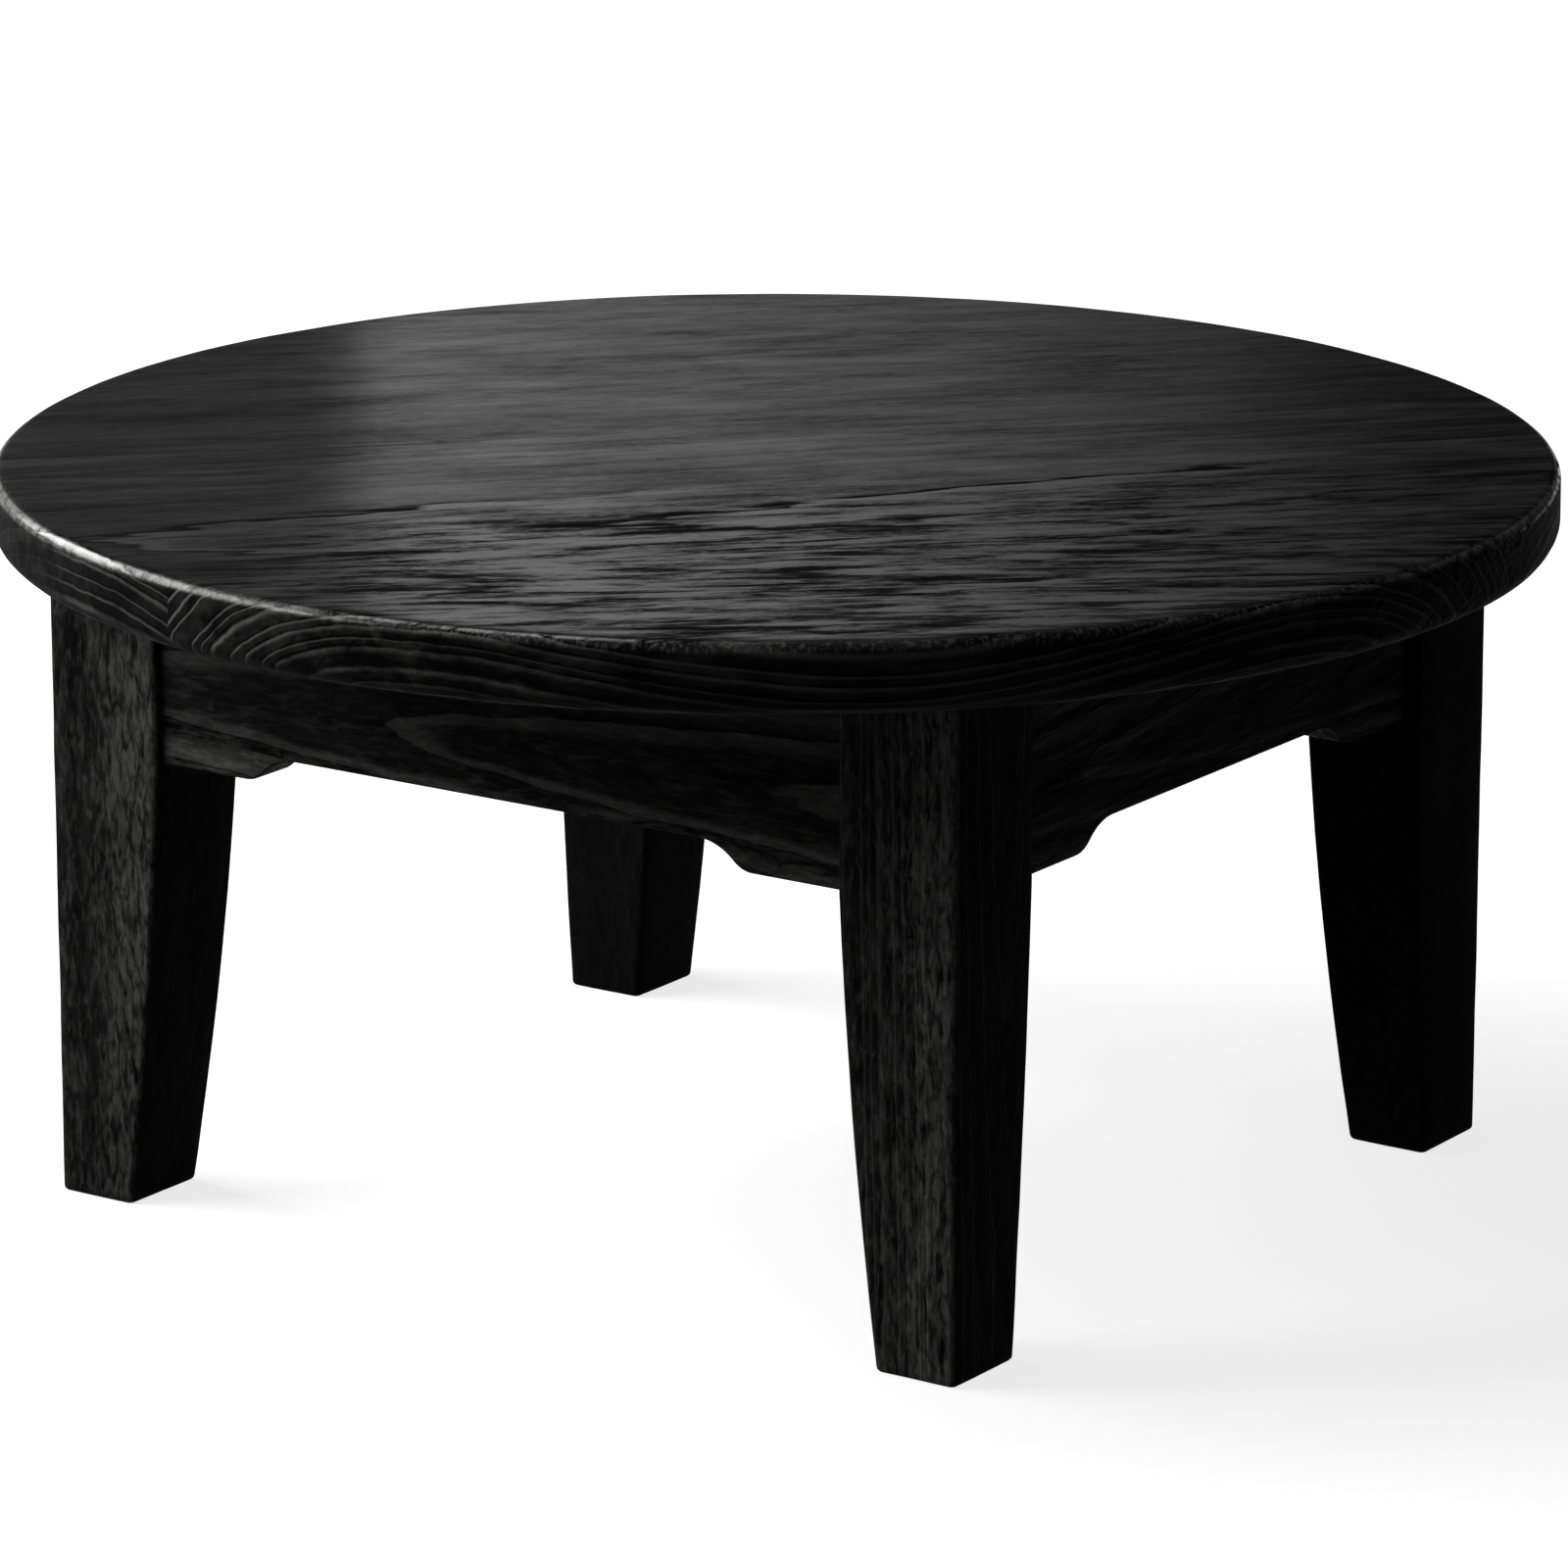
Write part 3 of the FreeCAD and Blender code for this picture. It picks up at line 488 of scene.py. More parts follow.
for name, (side_x, side_y) in LEG_CORNERS.items():
    leg = carve_leg(name, side_x, side_y)
    modify(leg, "SUBSURF", subdivision_type="SIMPLE", levels=2, render_levels=2)
    hand_planed(leg, LEG_PLANING)
    chop_mortises(leg, side_x, side_y)
    bore(leg, brace_screw_seat(side_x, side_y), (side_x, side_y, 0), SCREW_HOLE_RADIUS, SCREW_HOLE_LENGTH)
    wood = stained_wood(f"{name}_wood", grain=(0, 0, 1), across=(1, 0, 0), depth=(0, 1, 0),
                        pith=(side_x * LEG_PITH_X, side_y * LEG_PITH_Y), ring_gap=0.0045, cone=0.012,
                        # The far legs get darker summer wood and less relief, and so less painted ridge
                        # highlight, than the near ones: painted shade.
                        black=STAIN_BLACK, pale=NEAR_LEG_PALE if side_y < 0 else FAR_LEG_PALE_IN_PAINTED_SHADE,
                        relief=1.2 if side_y < 0 else 0.15, plain_to=-1.0 if name == "leg_front" else 1.0,
                        # The flecks keep to each leg's face that looks along Y and are all but left off the
                        # faces that look along X, so the faces that look to +X, which the light misses, stay
                        # plain and dark: painted shade.
                        shorter=1.9, rubbed=0.082, rubbed_side=(0, side_y, 0),
                        rubbed_from=side_x * FLECKS_MIDDLE - FLECKS_BEFORE,
                        rubbed_to=side_x * FLECKS_MIDDLE + FLECKS_PAST)
    finish_piece(leg, "table", "frame_wood", wood, name)


# Aprons. Each is a board tenoned between two legs, set back a little from their faces. Its lower edge is
# straight in the middle and drops through an ogee to a flat bracket at each leg. Its ends carry mitred
# tenons, and its inner face a ploughed groove for the turn buttons.

APRON_SIDES = {"apron_front": 0, "apron_right": 90, "apron_back": 180, "apron_left": 270}
APRON_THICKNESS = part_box("apron_front")[1].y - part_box("apron_front")[0].y
BRACKET_FLAT = 0.039
BRACKET_RUN = 0.025
BRACKET_DROP = 0.010
ROUNDED_ARC_SHARE = 0.34
APRON_ARRIS = 0.001
TENON_OVERLAP = 0.001
COLUMNS_PER_BAY = 4
BAY_WIDTH = 0.005
GROOVE_TOP = UNDERSIDE - 0.010
GROOVE_HEIGHT = 0.006
GROOVE_DEPTH = 0.009
# Where the pith of an apron's log passes: its height, and how far in from the outer face. Then how far above
# the lower edge its flecks begin and are at their most.
APRON_PITH_HEIGHT = 0.210
APRON_PITH_INSET = 0.034
APRON_FLECKS_ABOVE = 0.026
APRON_FLECKS_BELOW = 0.002


def ogee_rise(run):
    """How far the lower edge has risen at a run from the end of its flat bracket."""
    radius_per_share = (BRACKET_RUN ** 2 + BRACKET_DROP ** 2) / (2 * BRACKET_DROP)
    rounded = radius_per_share * ROUNDED_ARC_SHARE
    hollow = radius_per_share * (1 - ROUNDED_ARC_SHARE)
    if run <= 0:
        return 0
    if run < ROUNDED_ARC_SHARE * BRACKET_RUN:
        return rounded - math.sqrt(rounded ** 2 - run ** 2)
    left = max(BRACKET_RUN - run, 0)
    return BRACKET_DROP - hollow + math.sqrt(hollow ** 2 - left ** 2)


def saw_apron(name, half, outer):
    """A board along X with its outer face at -outer, cut to the ogee along its lower edge."""
    low = (-half, -outer, KNEE)
    high = (half, -outer + APRON_THICKNESS, UNDERSIDE)
    apron = add_block(name.replace("apron", "shaped_apron"), low, high)
    bpy.ops.object.mode_set(mode="EDIT")
    bays = round(2 * half / BAY_WIDTH)
    for cuts in (bays - 1, COLUMNS_PER_BAY - 1):
        pick("edges", lambda edge: span(edge, "x") > BAY_WIDTH / 2)
        bpy.ops.mesh.subdivide(number_cuts=cuts)
    columns = bays * COLUMNS_PER_BAY
    column_width = 2 * half / columns
    for column in range(columns + 1):
        x = -half + column_width * column
        rise = ogee_rise(half - BRACKET_FLAT - abs(x))
        if rise > 0:
            pick("verts", lambda vert: abs(vert.co.x - x) < column_width / 4
                 and vert.co.z < KNEE + BRACKET_DROP / 2)
            bpy.ops.transform.translate(value=(0, 0, rise))
    pick("edges", lambda edge: max(vert.co.z for vert in edge.verts) < KNEE + BRACKET_DROP * 1.1
         and span(edge, "y") < APRON_ARRIS and span(edge, "x") > column_width / 2)
    bpy.ops.mesh.bevel(offset=APRON_ARRIS, segments=3, affect="EDGES")
    close_piece(apron)
    return apron


def add_tenons(apron, half, outer, tip):
    """Join a tenon to each end, mitred so that neighbours meet along a diagonal inside the leg."""
    inset = (APRON_THICKNESS - TENON_THICKNESS) / 2
    near = -outer + inset
    for side in (-1, 1):
        ends = sorted((side * (half - TENON_OVERLAP), side * tip))
        tenon = add_block("tenon", (ends[0], near, TENON_BOTTOM),
                          (ends[1], near + TENON_THICKNESS, TENON_TOP))
        bpy.ops.object.mode_set(mode="EDIT")
        pick("verts", lambda vert: side * vert.co.x > tip - NEAR
             and vert.co.y > near + TENON_THICKNESS / 2)
        bpy.ops.transform.translate(value=(-side * TENON_THICKNESS, 0, 0))
        bpy.ops.object.mode_set(mode="OBJECT")
        combine(apron, tenon, "UNION")


for name, turn in APRON_SIDES.items():
    long_side = turn % 180 == 0
    half = (LEG_OUTER_X if long_side else LEG_OUTER_Y) - LEG_WIDTH
    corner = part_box(name)
    outer = {0: -corner[0].y, 90: corner[1].x, 180: corner[1].y, 270: -corner[0].x}[turn]
    apron = saw_apron(name, half, outer)
    groove_back = -outer + APRON_THICKNESS - GROOVE_DEPTH
    groove = add_block("groove", (-half - BAY_WIDTH, groove_back, GROOVE_TOP - GROOVE_HEIGHT),
                       (half + BAY_WIDTH, -outer + 2 * APRON_THICKNESS, GROOVE_TOP))
    combine(apron, groove, "DIFFERENCE")
    tip = LEG_OUTER_X - SHORT_TENON_INSET if long_side else LEG_OUTER_Y - LONG_TENON_INSET
    add_tenons(apron, half, outer, tip)
    choose(apron)
    apron.rotation_euler = Euler((0, 0, math.radians(turn)))
    bpy.ops.object.transform_apply(location=True, rotation=True, scale=True)
    grain, depth = ((1, 0, 0), (0, 1, 0)) if long_side else ((0, 1, 0), (1, 0, 0))
    outwards = -1 if turn in (0, 270) else 1
    wood = stained_wood(f"{name}_wood", grain=grain, across=(0, 0, 1), depth=depth,
                        pith=(APRON_PITH_HEIGHT, outwards * (outer - APRON_PITH_INSET)), ring_gap=0.006,
                        cone=0.03, black=STAIN_BLACK, pale=0.011, relief=3.4, line=3.5, shorter=1.4,
                        rubbed=0.050, rubbed_side=Vector(depth) * outwards,
                        rubbed_from=KNEE + APRON_FLECKS_ABOVE, rubbed_to=KNEE + APRON_FLECKS_BELOW)
    finish_piece(apron, "table", "frame_wood", wood, name)


# Top. Boards edge jointed with loose tongues and cut to a circle, planed and brushed so that the summer
# wood stands a little proud, stained black and waxed to a satin. Its upper arris is made paler, partly as
# wear and partly as a painted highlight.

TOP_RADIUS = CAD_BOX[1].x
TABLE_HEIGHT = CAD_BOX[1].z
TOP_THICKNESS = TABLE_HEIGHT - UNDERSIDE
UPPER_ROUND = 0.005
UPPER_ROUND_STEPS = 6
LOWER_ROUND = 0.008
LOWER_ROUND_STEPS = 8
RIM_STEPS = 480
TOP_PLANING = 0.045
JOINT_TURN = math.radians(45)
ALONG_JOINTS = Vector((math.cos(JOINT_TURN), math.sin(JOINT_TURN), 0))
ACROSS_JOINTS = Vector((math.sin(JOINT_TURN), -math.cos(JOINT_TURN), 0))
FRONT_JOINT = 0.161
MIDDLE_JOINT = -0.039
BACK_JOINT = -0.161
TONGUE_WIDTH = 0.018
TONGUE_THICKNESS = 0.008
TONGUE_END_MARGIN = 0.034
SMOOTH_TO = 0.130
# Each board's two edges, the slant of its grain to them in degrees, and its log: where the pith passes the
# table's middle and how high, the mean ring gap, the taper, the relief of its rings, which also sets how
# strongly their ridges are lightened as a painted highlight, how broad their ridges are, how far across its
# upper face none shows, and how pale its summer wood is.
BOARDS = {
    "top_board_front": ((FRONT_JOINT, TOP_RADIUS), -4,
                        dict(pith=(0.257, 0.214), ring_gap=0.0046, cone=0.004, relief=3.0, line=1.0,
                             plain_to=-1.0, pale=0.044)),
    "top_board_front_middle": ((MIDDLE_JOINT, FRONT_JOINT), 1,
                               dict(pith=(0.096, 0.035), ring_gap=0.0050, cone=0.015, relief=1.0,
                                    line=2.2, plain_to=0.105, pale=0.034)),
    "top_board_back_middle": ((BACK_JOINT, MIDDLE_JOINT), 2,
                              dict(pith=(-0.130, 0.190), ring_gap=0.0050, cone=0.02, relief=0.4,
                                   line=0.6, plain_to=-1.0, pale=0.018)),
    "top_board_back": ((-TOP_RADIUS, BACK_JOINT), 0,
                       dict(pith=(-0.200, 0.380), ring_gap=0.0055, cone=0.01, relief=0.3, line=0.6,
                            plain_to=-1.0, pale=0.018)),
}


def turn_top():
    """The whole round top with its arrises rounded, gridded finely enough to be planed."""
    bpy.ops.object.select_all(action="DESELECT")
    bpy.ops.mesh.primitive_cylinder_add(vertices=RIM_STEPS, radius=TOP_RADIUS, depth=TOP_THICKNESS,
                                        end_fill_type="NOTHING",
                                        location=(0, 0, TABLE_HEIGHT - TOP_THICKNESS / 2))
    top = open_piece("top_blank")
    for level, size, steps in ((TABLE_HEIGHT, UPPER_ROUND, UPPER_ROUND_STEPS),
                               (UNDERSIDE, LOWER_ROUND, LOWER_ROUND_STEPS)):
        pick("edges", lambda edge: all(abs(vert.co.z - level) < NEAR for vert in edge.verts))
        bpy.ops.mesh.extrude_region_move(TRANSFORM_OT_translate={"value": (0, 0, 0)})
        shrink = (TOP_RADIUS - 2 * size) / TOP_RADIUS
        bpy.ops.transform.resize(value=(shrink, shrink, 1), center_override=(0, 0, level))
        bpy.ops.mesh.fill_grid(span=RIM_STEPS // 4)
        pick("edges", lambda edge: all(abs(vert.co.z - level) < NEAR
                                       and abs(vert.co.xy.length - TOP_RADIUS) < NEAR
                                       for vert in edge.verts))
        bpy.ops.mesh.bevel(offset=size, segments=steps, affect="EDGES")
    close_piece(top)
    hand_planed(top, TOP_PLANING)
    return top


def tongue_groove(joint):
    """A block as big as the stopped groove that two neighbouring boards share for their loose tongue."""
    half_length = math.sqrt(TOP_RADIUS ** 2 - joint ** 2) - TONGUE_END_MARGIN
    middle = (UNDERSIDE + TABLE_HEIGHT) / 2
    low = (-half_length, -joint - TONGUE_WIDTH / 2, middle - TONGUE_THICKNESS / 2)
    high = (half_length, -joint + TONGUE_WIDTH / 2, middle + TONGUE_THICKNESS / 2)
    groove = add_block("tongue_groove", low, high)
    groove.rotation_euler = Euler((0, 0, JOINT_TURN))
    bpy.ops.object.transform_apply(location=True, rotation=True, scale=True)
    return groove


def rip_board(top, name, edges):
    """Copy the top, saw away what lies outside a board's two edges and plough them for the tongues."""
    choose(top)
    bpy.ops.object.duplicate()
    board = bpy.context.object
    board.name = name.replace("top_board", "planed_board")
    bpy.ops.object.mode_set(mode="EDIT")
    for edge, keep in ((edges[0], 1), (edges[1], -1)):
        if abs(edge) < TOP_RADIUS:
            bpy.ops.mesh.select_all(action="SELECT")
            bpy.ops.mesh.bisect(plane_co=ACROSS_JOINTS * edge, plane_no=ACROSS_JOINTS * keep,
                                clear_inner=True, use_fill=True)
    close_piece(board)
    for edge in edges:
        if abs(edge) < TOP_RADIUS:
            combine(board, tongue_groove(edge), "DIFFERENCE")
    return board


top = turn_top()
for name, (edges, slant, log) in BOARDS.items():
    board = rip_board(top, name, edges)
    turn = JOINT_TURN + math.radians(slant)
    # The upper arris of each board is made paler, partly as wear and partly as a painted highlight.
    wood = stained_wood(f"{name}_wood", grain=(math.cos(turn), math.sin(turn), 0),
                        across=(math.sin(turn), -math.cos(turn), 0), depth=(0, 0, 1), black=STAIN_BLACK,
                        wear=0.15, wax=1.0, smooth_to=SMOOTH_TO, **log)
    finish_piece(board, "table", "top_wood", wood, name)
bpy.data.objects.remove(top)


# Loose tongues. Three strips of the same wood, stopped short of the rim and unseen, that line up the boards
# in their joints while the glue sets. Sawn, and left as the saw leaves them.

TONGUE_PITH = (0.4, 0.1)

tongue_wood = stained_wood("tongue_wood", grain=ALONG_JOINTS, across=ACROSS_JOINTS, depth=(0, 0, 1),
                           pith=TONGUE_PITH, black=0.03, pale=0.12)
for name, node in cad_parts.items():
    if name.startswith("top_spline"):
        node.data.materials.clear()
        node.data.materials.append(tongue_wood)


# Corner braces. A block across each corner of the frame, notched round the leg and mitred to both aprons,
# drawn tight by one screw into the leg. Sawn from the same wood and stained with the frame, but not waxed.

BRACE_SEAT = 0.038
BRACE_BOTTOM = UNDERSIDE - 0.052
BRACE_TOP = UNDERSIDE - 0.002
BRACE_ARRIS = 0.0015
SAWN_ARRIS = 0.0006
# Where two faces of a sawn piece turn by more than this, in radians, the edge between them is eased.
SHARP_TURN = 0.6
# How far in from the outer faces of the legs the inner faces of the aprons lie: of the long and the short.
TENON_TO_INNER_FACE = (APRON_THICKNESS + TENON_THICKNESS) / 2
LONG_APRON_INSET = LONG_TENON_INSET + TENON_TO_INNER_FACE
SHORT_APRON_INSET = SHORT_TENON_INSET + TENON_TO_INNER_FACE
BRACE_PITH = (0.20, 0.18)
# The ring of points that is laid out into an outline starts this small.
RING_RADIUS = 0.01


def extrude_outline(name, points, push):
    """A piece of even section: an outline of points in space, pushed along a direction."""
    bpy.ops.object.select_all(action="DESELECT")
    bpy.ops.mesh.primitive_circle_add(vertices=len(points), radius=RING_RADIUS, fill_type="NGON")
    piece = open_piece(name)
    for index, point in enumerate(points):
        pick("verts", lambda vert: vert.index == index)
        mesh = bmesh.from_edit_mesh(piece.data)
        mesh.verts.ensure_lookup_table()
        bpy.ops.transform.translate(value=Vector(point) - mesh.verts[index].co)
    pick("faces", lambda face: True)
    bpy.ops.mesh.extrude_region_move(TRANSFORM_OT_translate={"value": push})
    bpy.ops.mesh.select_all(action="SELECT")
    bpy.ops.mesh.normals_make_consistent(inside=False)
    return piece


def brace_outline(side_x, side_y):
    """Plan of a corner brace, from its heel on the long apron round to its notch for the leg."""
    insets = ((BRACE_HEEL - LONG_APRON_INSET, LONG_APRON_INSET),
              (BRACE_FACE - LONG_APRON_INSET, LONG_APRON_INSET),
              (SHORT_APRON_INSET, BRACE_FACE - SHORT_APRON_INSET),
              (SHORT_APRON_INSET, BRACE_HEEL - SHORT_APRON_INSET),
              (BRACE_SEAT, LEG_WIDTH), (LEG_WIDTH, LEG_WIDTH), (LEG_WIDTH, BRACE_SEAT))
    return [(side_x * (LEG_OUTER_X - x), side_y * (LEG_OUTER_Y - y), BRACE_BOTTOM) for x, y in insets]


def saw_brace(name, side_x, side_y):
    """A corner brace whose long inner face has eased edges, its other edges left nearly as sawn."""
    outline = brace_outline(side_x, side_y)
    brace = extrude_outline(name, outline, (0, 0, BRACE_TOP - BRACE_BOTTOM))
    inner_face = LEG_OUTER_X + LEG_OUTER_Y - BRACE_FACE
    pick("edges", lambda edge: all(abs(side_x * vert.co.x + side_y * vert.co.y - inner_face) < NEAR
                                   for vert in edge.verts) and span(edge, "z") < NEAR)
    bpy.ops.mesh.bevel(offset=BRACE_ARRIS, segments=3, affect="EDGES")
    pick("edges", lambda edge: edge.calc_face_angle() > SHARP_TURN)
    bpy.ops.mesh.bevel(offset=SAWN_ARRIS, segments=2, affect="EDGES")
    close_piece(brace)
    seat = brace_screw_seat(side_x, side_y) - Vector((side_x, side_y, 0)) * SAWN_ARRIS
    bore(brace, seat, (side_x, side_y, 0), SCREW_HOLE_RADIUS, SCREW_HOLE_LENGTH)
    return brace


# The grain of a brace runs across its corner, so opposite corners share one stain.
DIAGONALS = {1: Vector((1, 1, 0)).normalized(), -1: Vector((1, -1, 0)).normalized()}
brace_woods = {}
for number, sign in enumerate(DIAGONALS):
    brace_woods[sign] = stained_wood(f"brace_wood_{number}", grain=DIAGONALS[-sign],
                                     across=DIAGONALS[sign], depth=(0, 0, 1), pith=BRACE_PITH,
                                     ring_gap=0.004, cone=0.02, black=0.006, pale=0.030, relief=1.2,
                                     line=1.5)
for name, (side_x, side_y) in LEG_CORNERS.items():
    node = name.replace("leg", "corner_brace")
    brace = saw_brace(f"shaped_{node}", side_x, side_y)
    finish_piece(brace, "table", "inner_wood", brace_woods[side_x * side_y], node)


# Turn buttons. Rebated blocks whose tongue lies in the groove of an apron and draws the top down, two to a
# side, so that the top can shrink and swell. Sawn across their grain, their ends chamfered.

BUTTON_PLACES = {
    "front_left": (-0.050, -0.151, 0), "front_right": (0.050, -0.151, 0),
    "right_left": (0.166, -0.038, 90), "right_right": (0.166, 0.038, 90),
    "back_left": (0.050, 0.151, 180), "back_right": (-0.050, 0.151, 180),
    "left_left": (-0.166, 0.038, 270), "left_right": (-0.166, -0.038, 270),
}
BUTTON_WIDTH = 0.018
BUTTON_REACH = 0.020
BUTTON_TAIL = 0.014
BUTTON_SHOULDER = 0.010
BUTTON_TOP = UNDERSIDE - 0.0003
BUTTON_TONGUE = UNDERSIDE - 0.0103
BUTTON_BOTTOM = UNDERSIDE - 0.0157
BUTTON_CORNER = 0.002
BUTTON_HOLE_START = BUTTON_BOTTOM - 0.001
BUTTON_HOLE_LENGTH = 0.020
BUTTON_PITH = (0.075, 0.27)


def saw_button(name):
    """One button on the axis of its screw, its tongue towards -Y."""
    side = [(-BUTTON_REACH, BUTTON_BOTTOM), (BUTTON_TAIL, BUTTON_BOTTOM), (BUTTON_TAIL, BUTTON_TOP),
            (-BUTTON_SHOULDER, BUTTON_TOP), (-BUTTON_SHOULDER, BUTTON_TONGUE),
            (-BUTTON_REACH, BUTTON_TONGUE)]
    button = extrude_outline(name, [(-BUTTON_WIDTH / 2, y, z) for y, z in side], (BUTTON_WIDTH, 0, 0))
    pick("edges", lambda edge: span(edge, "z") > 2 * BUTTON_CORNER
         and (edge.verts[0].co.y > BUTTON_TAIL - NEAR or edge.verts[0].co.y < -BUTTON_REACH + NEAR))
    bpy.ops.mesh.bevel(offset=BUTTON_CORNER, segments=1, affect="EDGES")
    pick("edges", lambda edge: edge.calc_face_angle() > SHARP_TURN)
    bpy.ops.mesh.bevel(offset=SAWN_ARRIS / 2, segments=2, affect="EDGES")
    close_piece(button)
    bore(button, (0, 0, BUTTON_HOLE_START), (0, 0, 1), SCREW_HOLE_RADIUS, BUTTON_HOLE_LENGTH)
    return button


# The grain of a button runs along its tongue, so buttons of facing sides share one stain.
button_woods = {}
for turn, name, grain, across in ((0, "long_side_button_wood", (0, 1, 0), (1, 0, 0)),
                                  (90, "short_side_button_wood", (1, 0, 0), (0, 1, 0))):
    button_woods[turn] = stained_wood(name, grain=grain, across=across, depth=(0, 0, 1), pith=BUTTON_PITH,
                                      ring_gap=0.003, cone=0.02, black=0.008, pale=0.045, relief=0.8)
for place, (x, y, turn) in BUTTON_PLACES.items():
    button = saw_button(f"shaped_turn_button_{place}")
    choose(button)
    button.rotation_euler = Euler((0, 0, math.radians(turn)))
    button.location = (x, y, 0)
    bpy.ops.object.transform_apply(location=True, rotation=True, scale=True)
    wood = button_woods[turn % 180]
    finish_piece(button, f"button_{place}", "button_wood", wood, f"turn_button_{place}")


# Screws. Round-head slotted wood screws, zinc plated and dull: eight on which the buttons turn, driven up
# into the top, and four driven through the braces into the legs. Slots stand as the driver left them.

SCREW_RADIUS = 0.002
HEAD_RADIUS = 0.004
HEAD_HEIGHT = 0.0024
HEAD_ROUND_SHARE = 0.85
SLOT_WIDTH = 0.0010
SLOT_DEPTH = 0.0011
BUTTON_SCREW_SEAT = UNDERSIDE - 0.016
BUTTON_SCREW_LENGTH = 0.030
BRACE_SCREW_LENGTH = 0.049
SCREW_HEAD_SIDES = 48
ZINC_PATCHES = (0.0016, 0.0016, 0.0016)


def turn_screw(seat, towards, length, slot_turn):
    """One screw with its head's flat side on a seat and its shank pointing towards a direction."""
    bpy.ops.object.select_all(action="DESELECT")
    bpy.ops.mesh.primitive_cylinder_add(vertices=SCREW_HEAD_SIDES, radius=HEAD_RADIUS,
                                        depth=HEAD_HEIGHT, location=(0, 0, -HEAD_HEIGHT / 2))
    screw = open_piece("screw")
    pick("edges", lambda edge: all(vert.co.z < -HEAD_HEIGHT + NEAR for vert in edge.verts))
    bpy.ops.mesh.bevel(offset=HEAD_HEIGHT * HEAD_ROUND_SHARE, segments=6, affect="EDGES")
    close_piece(screw)
    slot = add_block("slot", (-2 * HEAD_RADIUS, -SLOT_WIDTH / 2, -2 * HEAD_HEIGHT),
                     (2 * HEAD_RADIUS, SLOT_WIDTH / 2, -HEAD_HEIGHT + SLOT_DEPTH))
    combine(screw, slot, "DIFFERENCE")
    bpy.ops.object.select_all(action="DESELECT")
    bpy.ops.mesh.primitive_cylinder_add(vertices=ROUND_SIDES, radius=SCREW_RADIUS,
                                        depth=length + HEAD_HEIGHT / 4,
                                        location=(0, 0, length / 2 - HEAD_HEIGHT / 8))
    combine(screw, bpy.context.object, "UNION")
    choose(screw)
    screw.rotation_euler = Euler((0, 0, slot_turn))
    bpy.ops.object.transform_apply(location=True, rotation=True, scale=True)
    screw.rotation_mode = "QUATERNION"
    screw.rotation_quaternion = Vector(towards).to_track_quat("Z", "Y")
    screw.location = seat
    bpy.ops.object.transform_apply(location=True, rotation=True, scale=True)
    return screw


def dull_zinc(name):
    """Zinc plate gone dull, a little uneven in its shine."""
    material = bpy.data.materials.new(name)
    material.use_nodes = True
    tree = material.node_tree
    shader = tree.nodes["Principled BSDF"]
    texture = tree.nodes.new("ShaderNodeTexCoord")
    place = Tone(texture.outputs["Object"])
    axes = [along(place, axis) for axis in ((1, 0, 0), (0, 1, 0), (0, 0, 1))]
    patch = speckle(axes, ZINC_PATCHES, detail=3.0)
    lightness = 0.26 + patch * 0.18
    colour = lightness.node("ShaderNodeCombineColor",
                            {0: lightness, 1: lightness * 0.97, 2: lightness * 0.92})
    tree.links.new(colour.socket, shader.inputs["Base Color"])
    tree.links.new((0.30 + patch * 0.25).socket, shader.inputs["Roughness"])
    shader.inputs["Metallic"].default_value = 1.0
    return material


def gather(pieces, name):
    """Make one object of several pieces."""
    bpy.ops.object.select_all(action="DESELECT")
    for piece in pieces:
        piece.select_set(True)
    bpy.context.view_layer.objects.active = pieces[0]
    bpy.ops.object.join()
    pieces[0].name = name
    return pieces[0]


zinc = dull_zinc("dull_zinc")
button_screws = [turn_screw((x, y, BUTTON_SCREW_SEAT), (0, 0, 1), BUTTON_SCREW_LENGTH,
                            slot_turn=0.7 + 1.9 * number)
                 for number, (x, y, turn) in enumerate(BUTTON_PLACES.values())]
finish_piece(gather(button_screws, "turned_button_screws"), "table", "screw_steel", zinc, "button_screws")
brace_screws = [turn_screw(brace_screw_seat(*sides), (*sides, 0), BRACE_SCREW_LENGTH,
                           slot_turn=0.4 + 2.3 * number)
                for number, sides in enumerate(LEG_CORNERS.values())]
finish_piece(gather(brace_screws, "turned_brace_screws"), "table", "screw_steel", zinc, "brace_screws")


# Studio. A pale floor, a large soft lamp low on the left, one overhead that leans the same way, a weak one
# from the front, and behind the table a glowing card that the top mirrors as it would a window.

FLOOR_HALF = 12.0
# The floor shows its shadow out to the first of these distances from its middle, and hardly past the second.
SHADED_TO = 0.3
WHITE_FROM = 1.6
LAMP_AIM = (0, 0, 0.2)
# The card: how soft its edge is, how far past it the bright part starts to fade and the dim part ends, and
# between which heights above its foot the bright part grows to its full strength.
EDGE_BLUR = 0.03
FADE_START = 0.05
DIM_END = 0.15
FOOT_GLOW_FROM = 0.08
FOOT_GLOW_TO = 0.30


def distance_out(place):
    """How far a place on the floor is from its middle."""
    return place.node("ShaderNodeVectorMath", {0: place}, output="Value", operation="LENGTH")


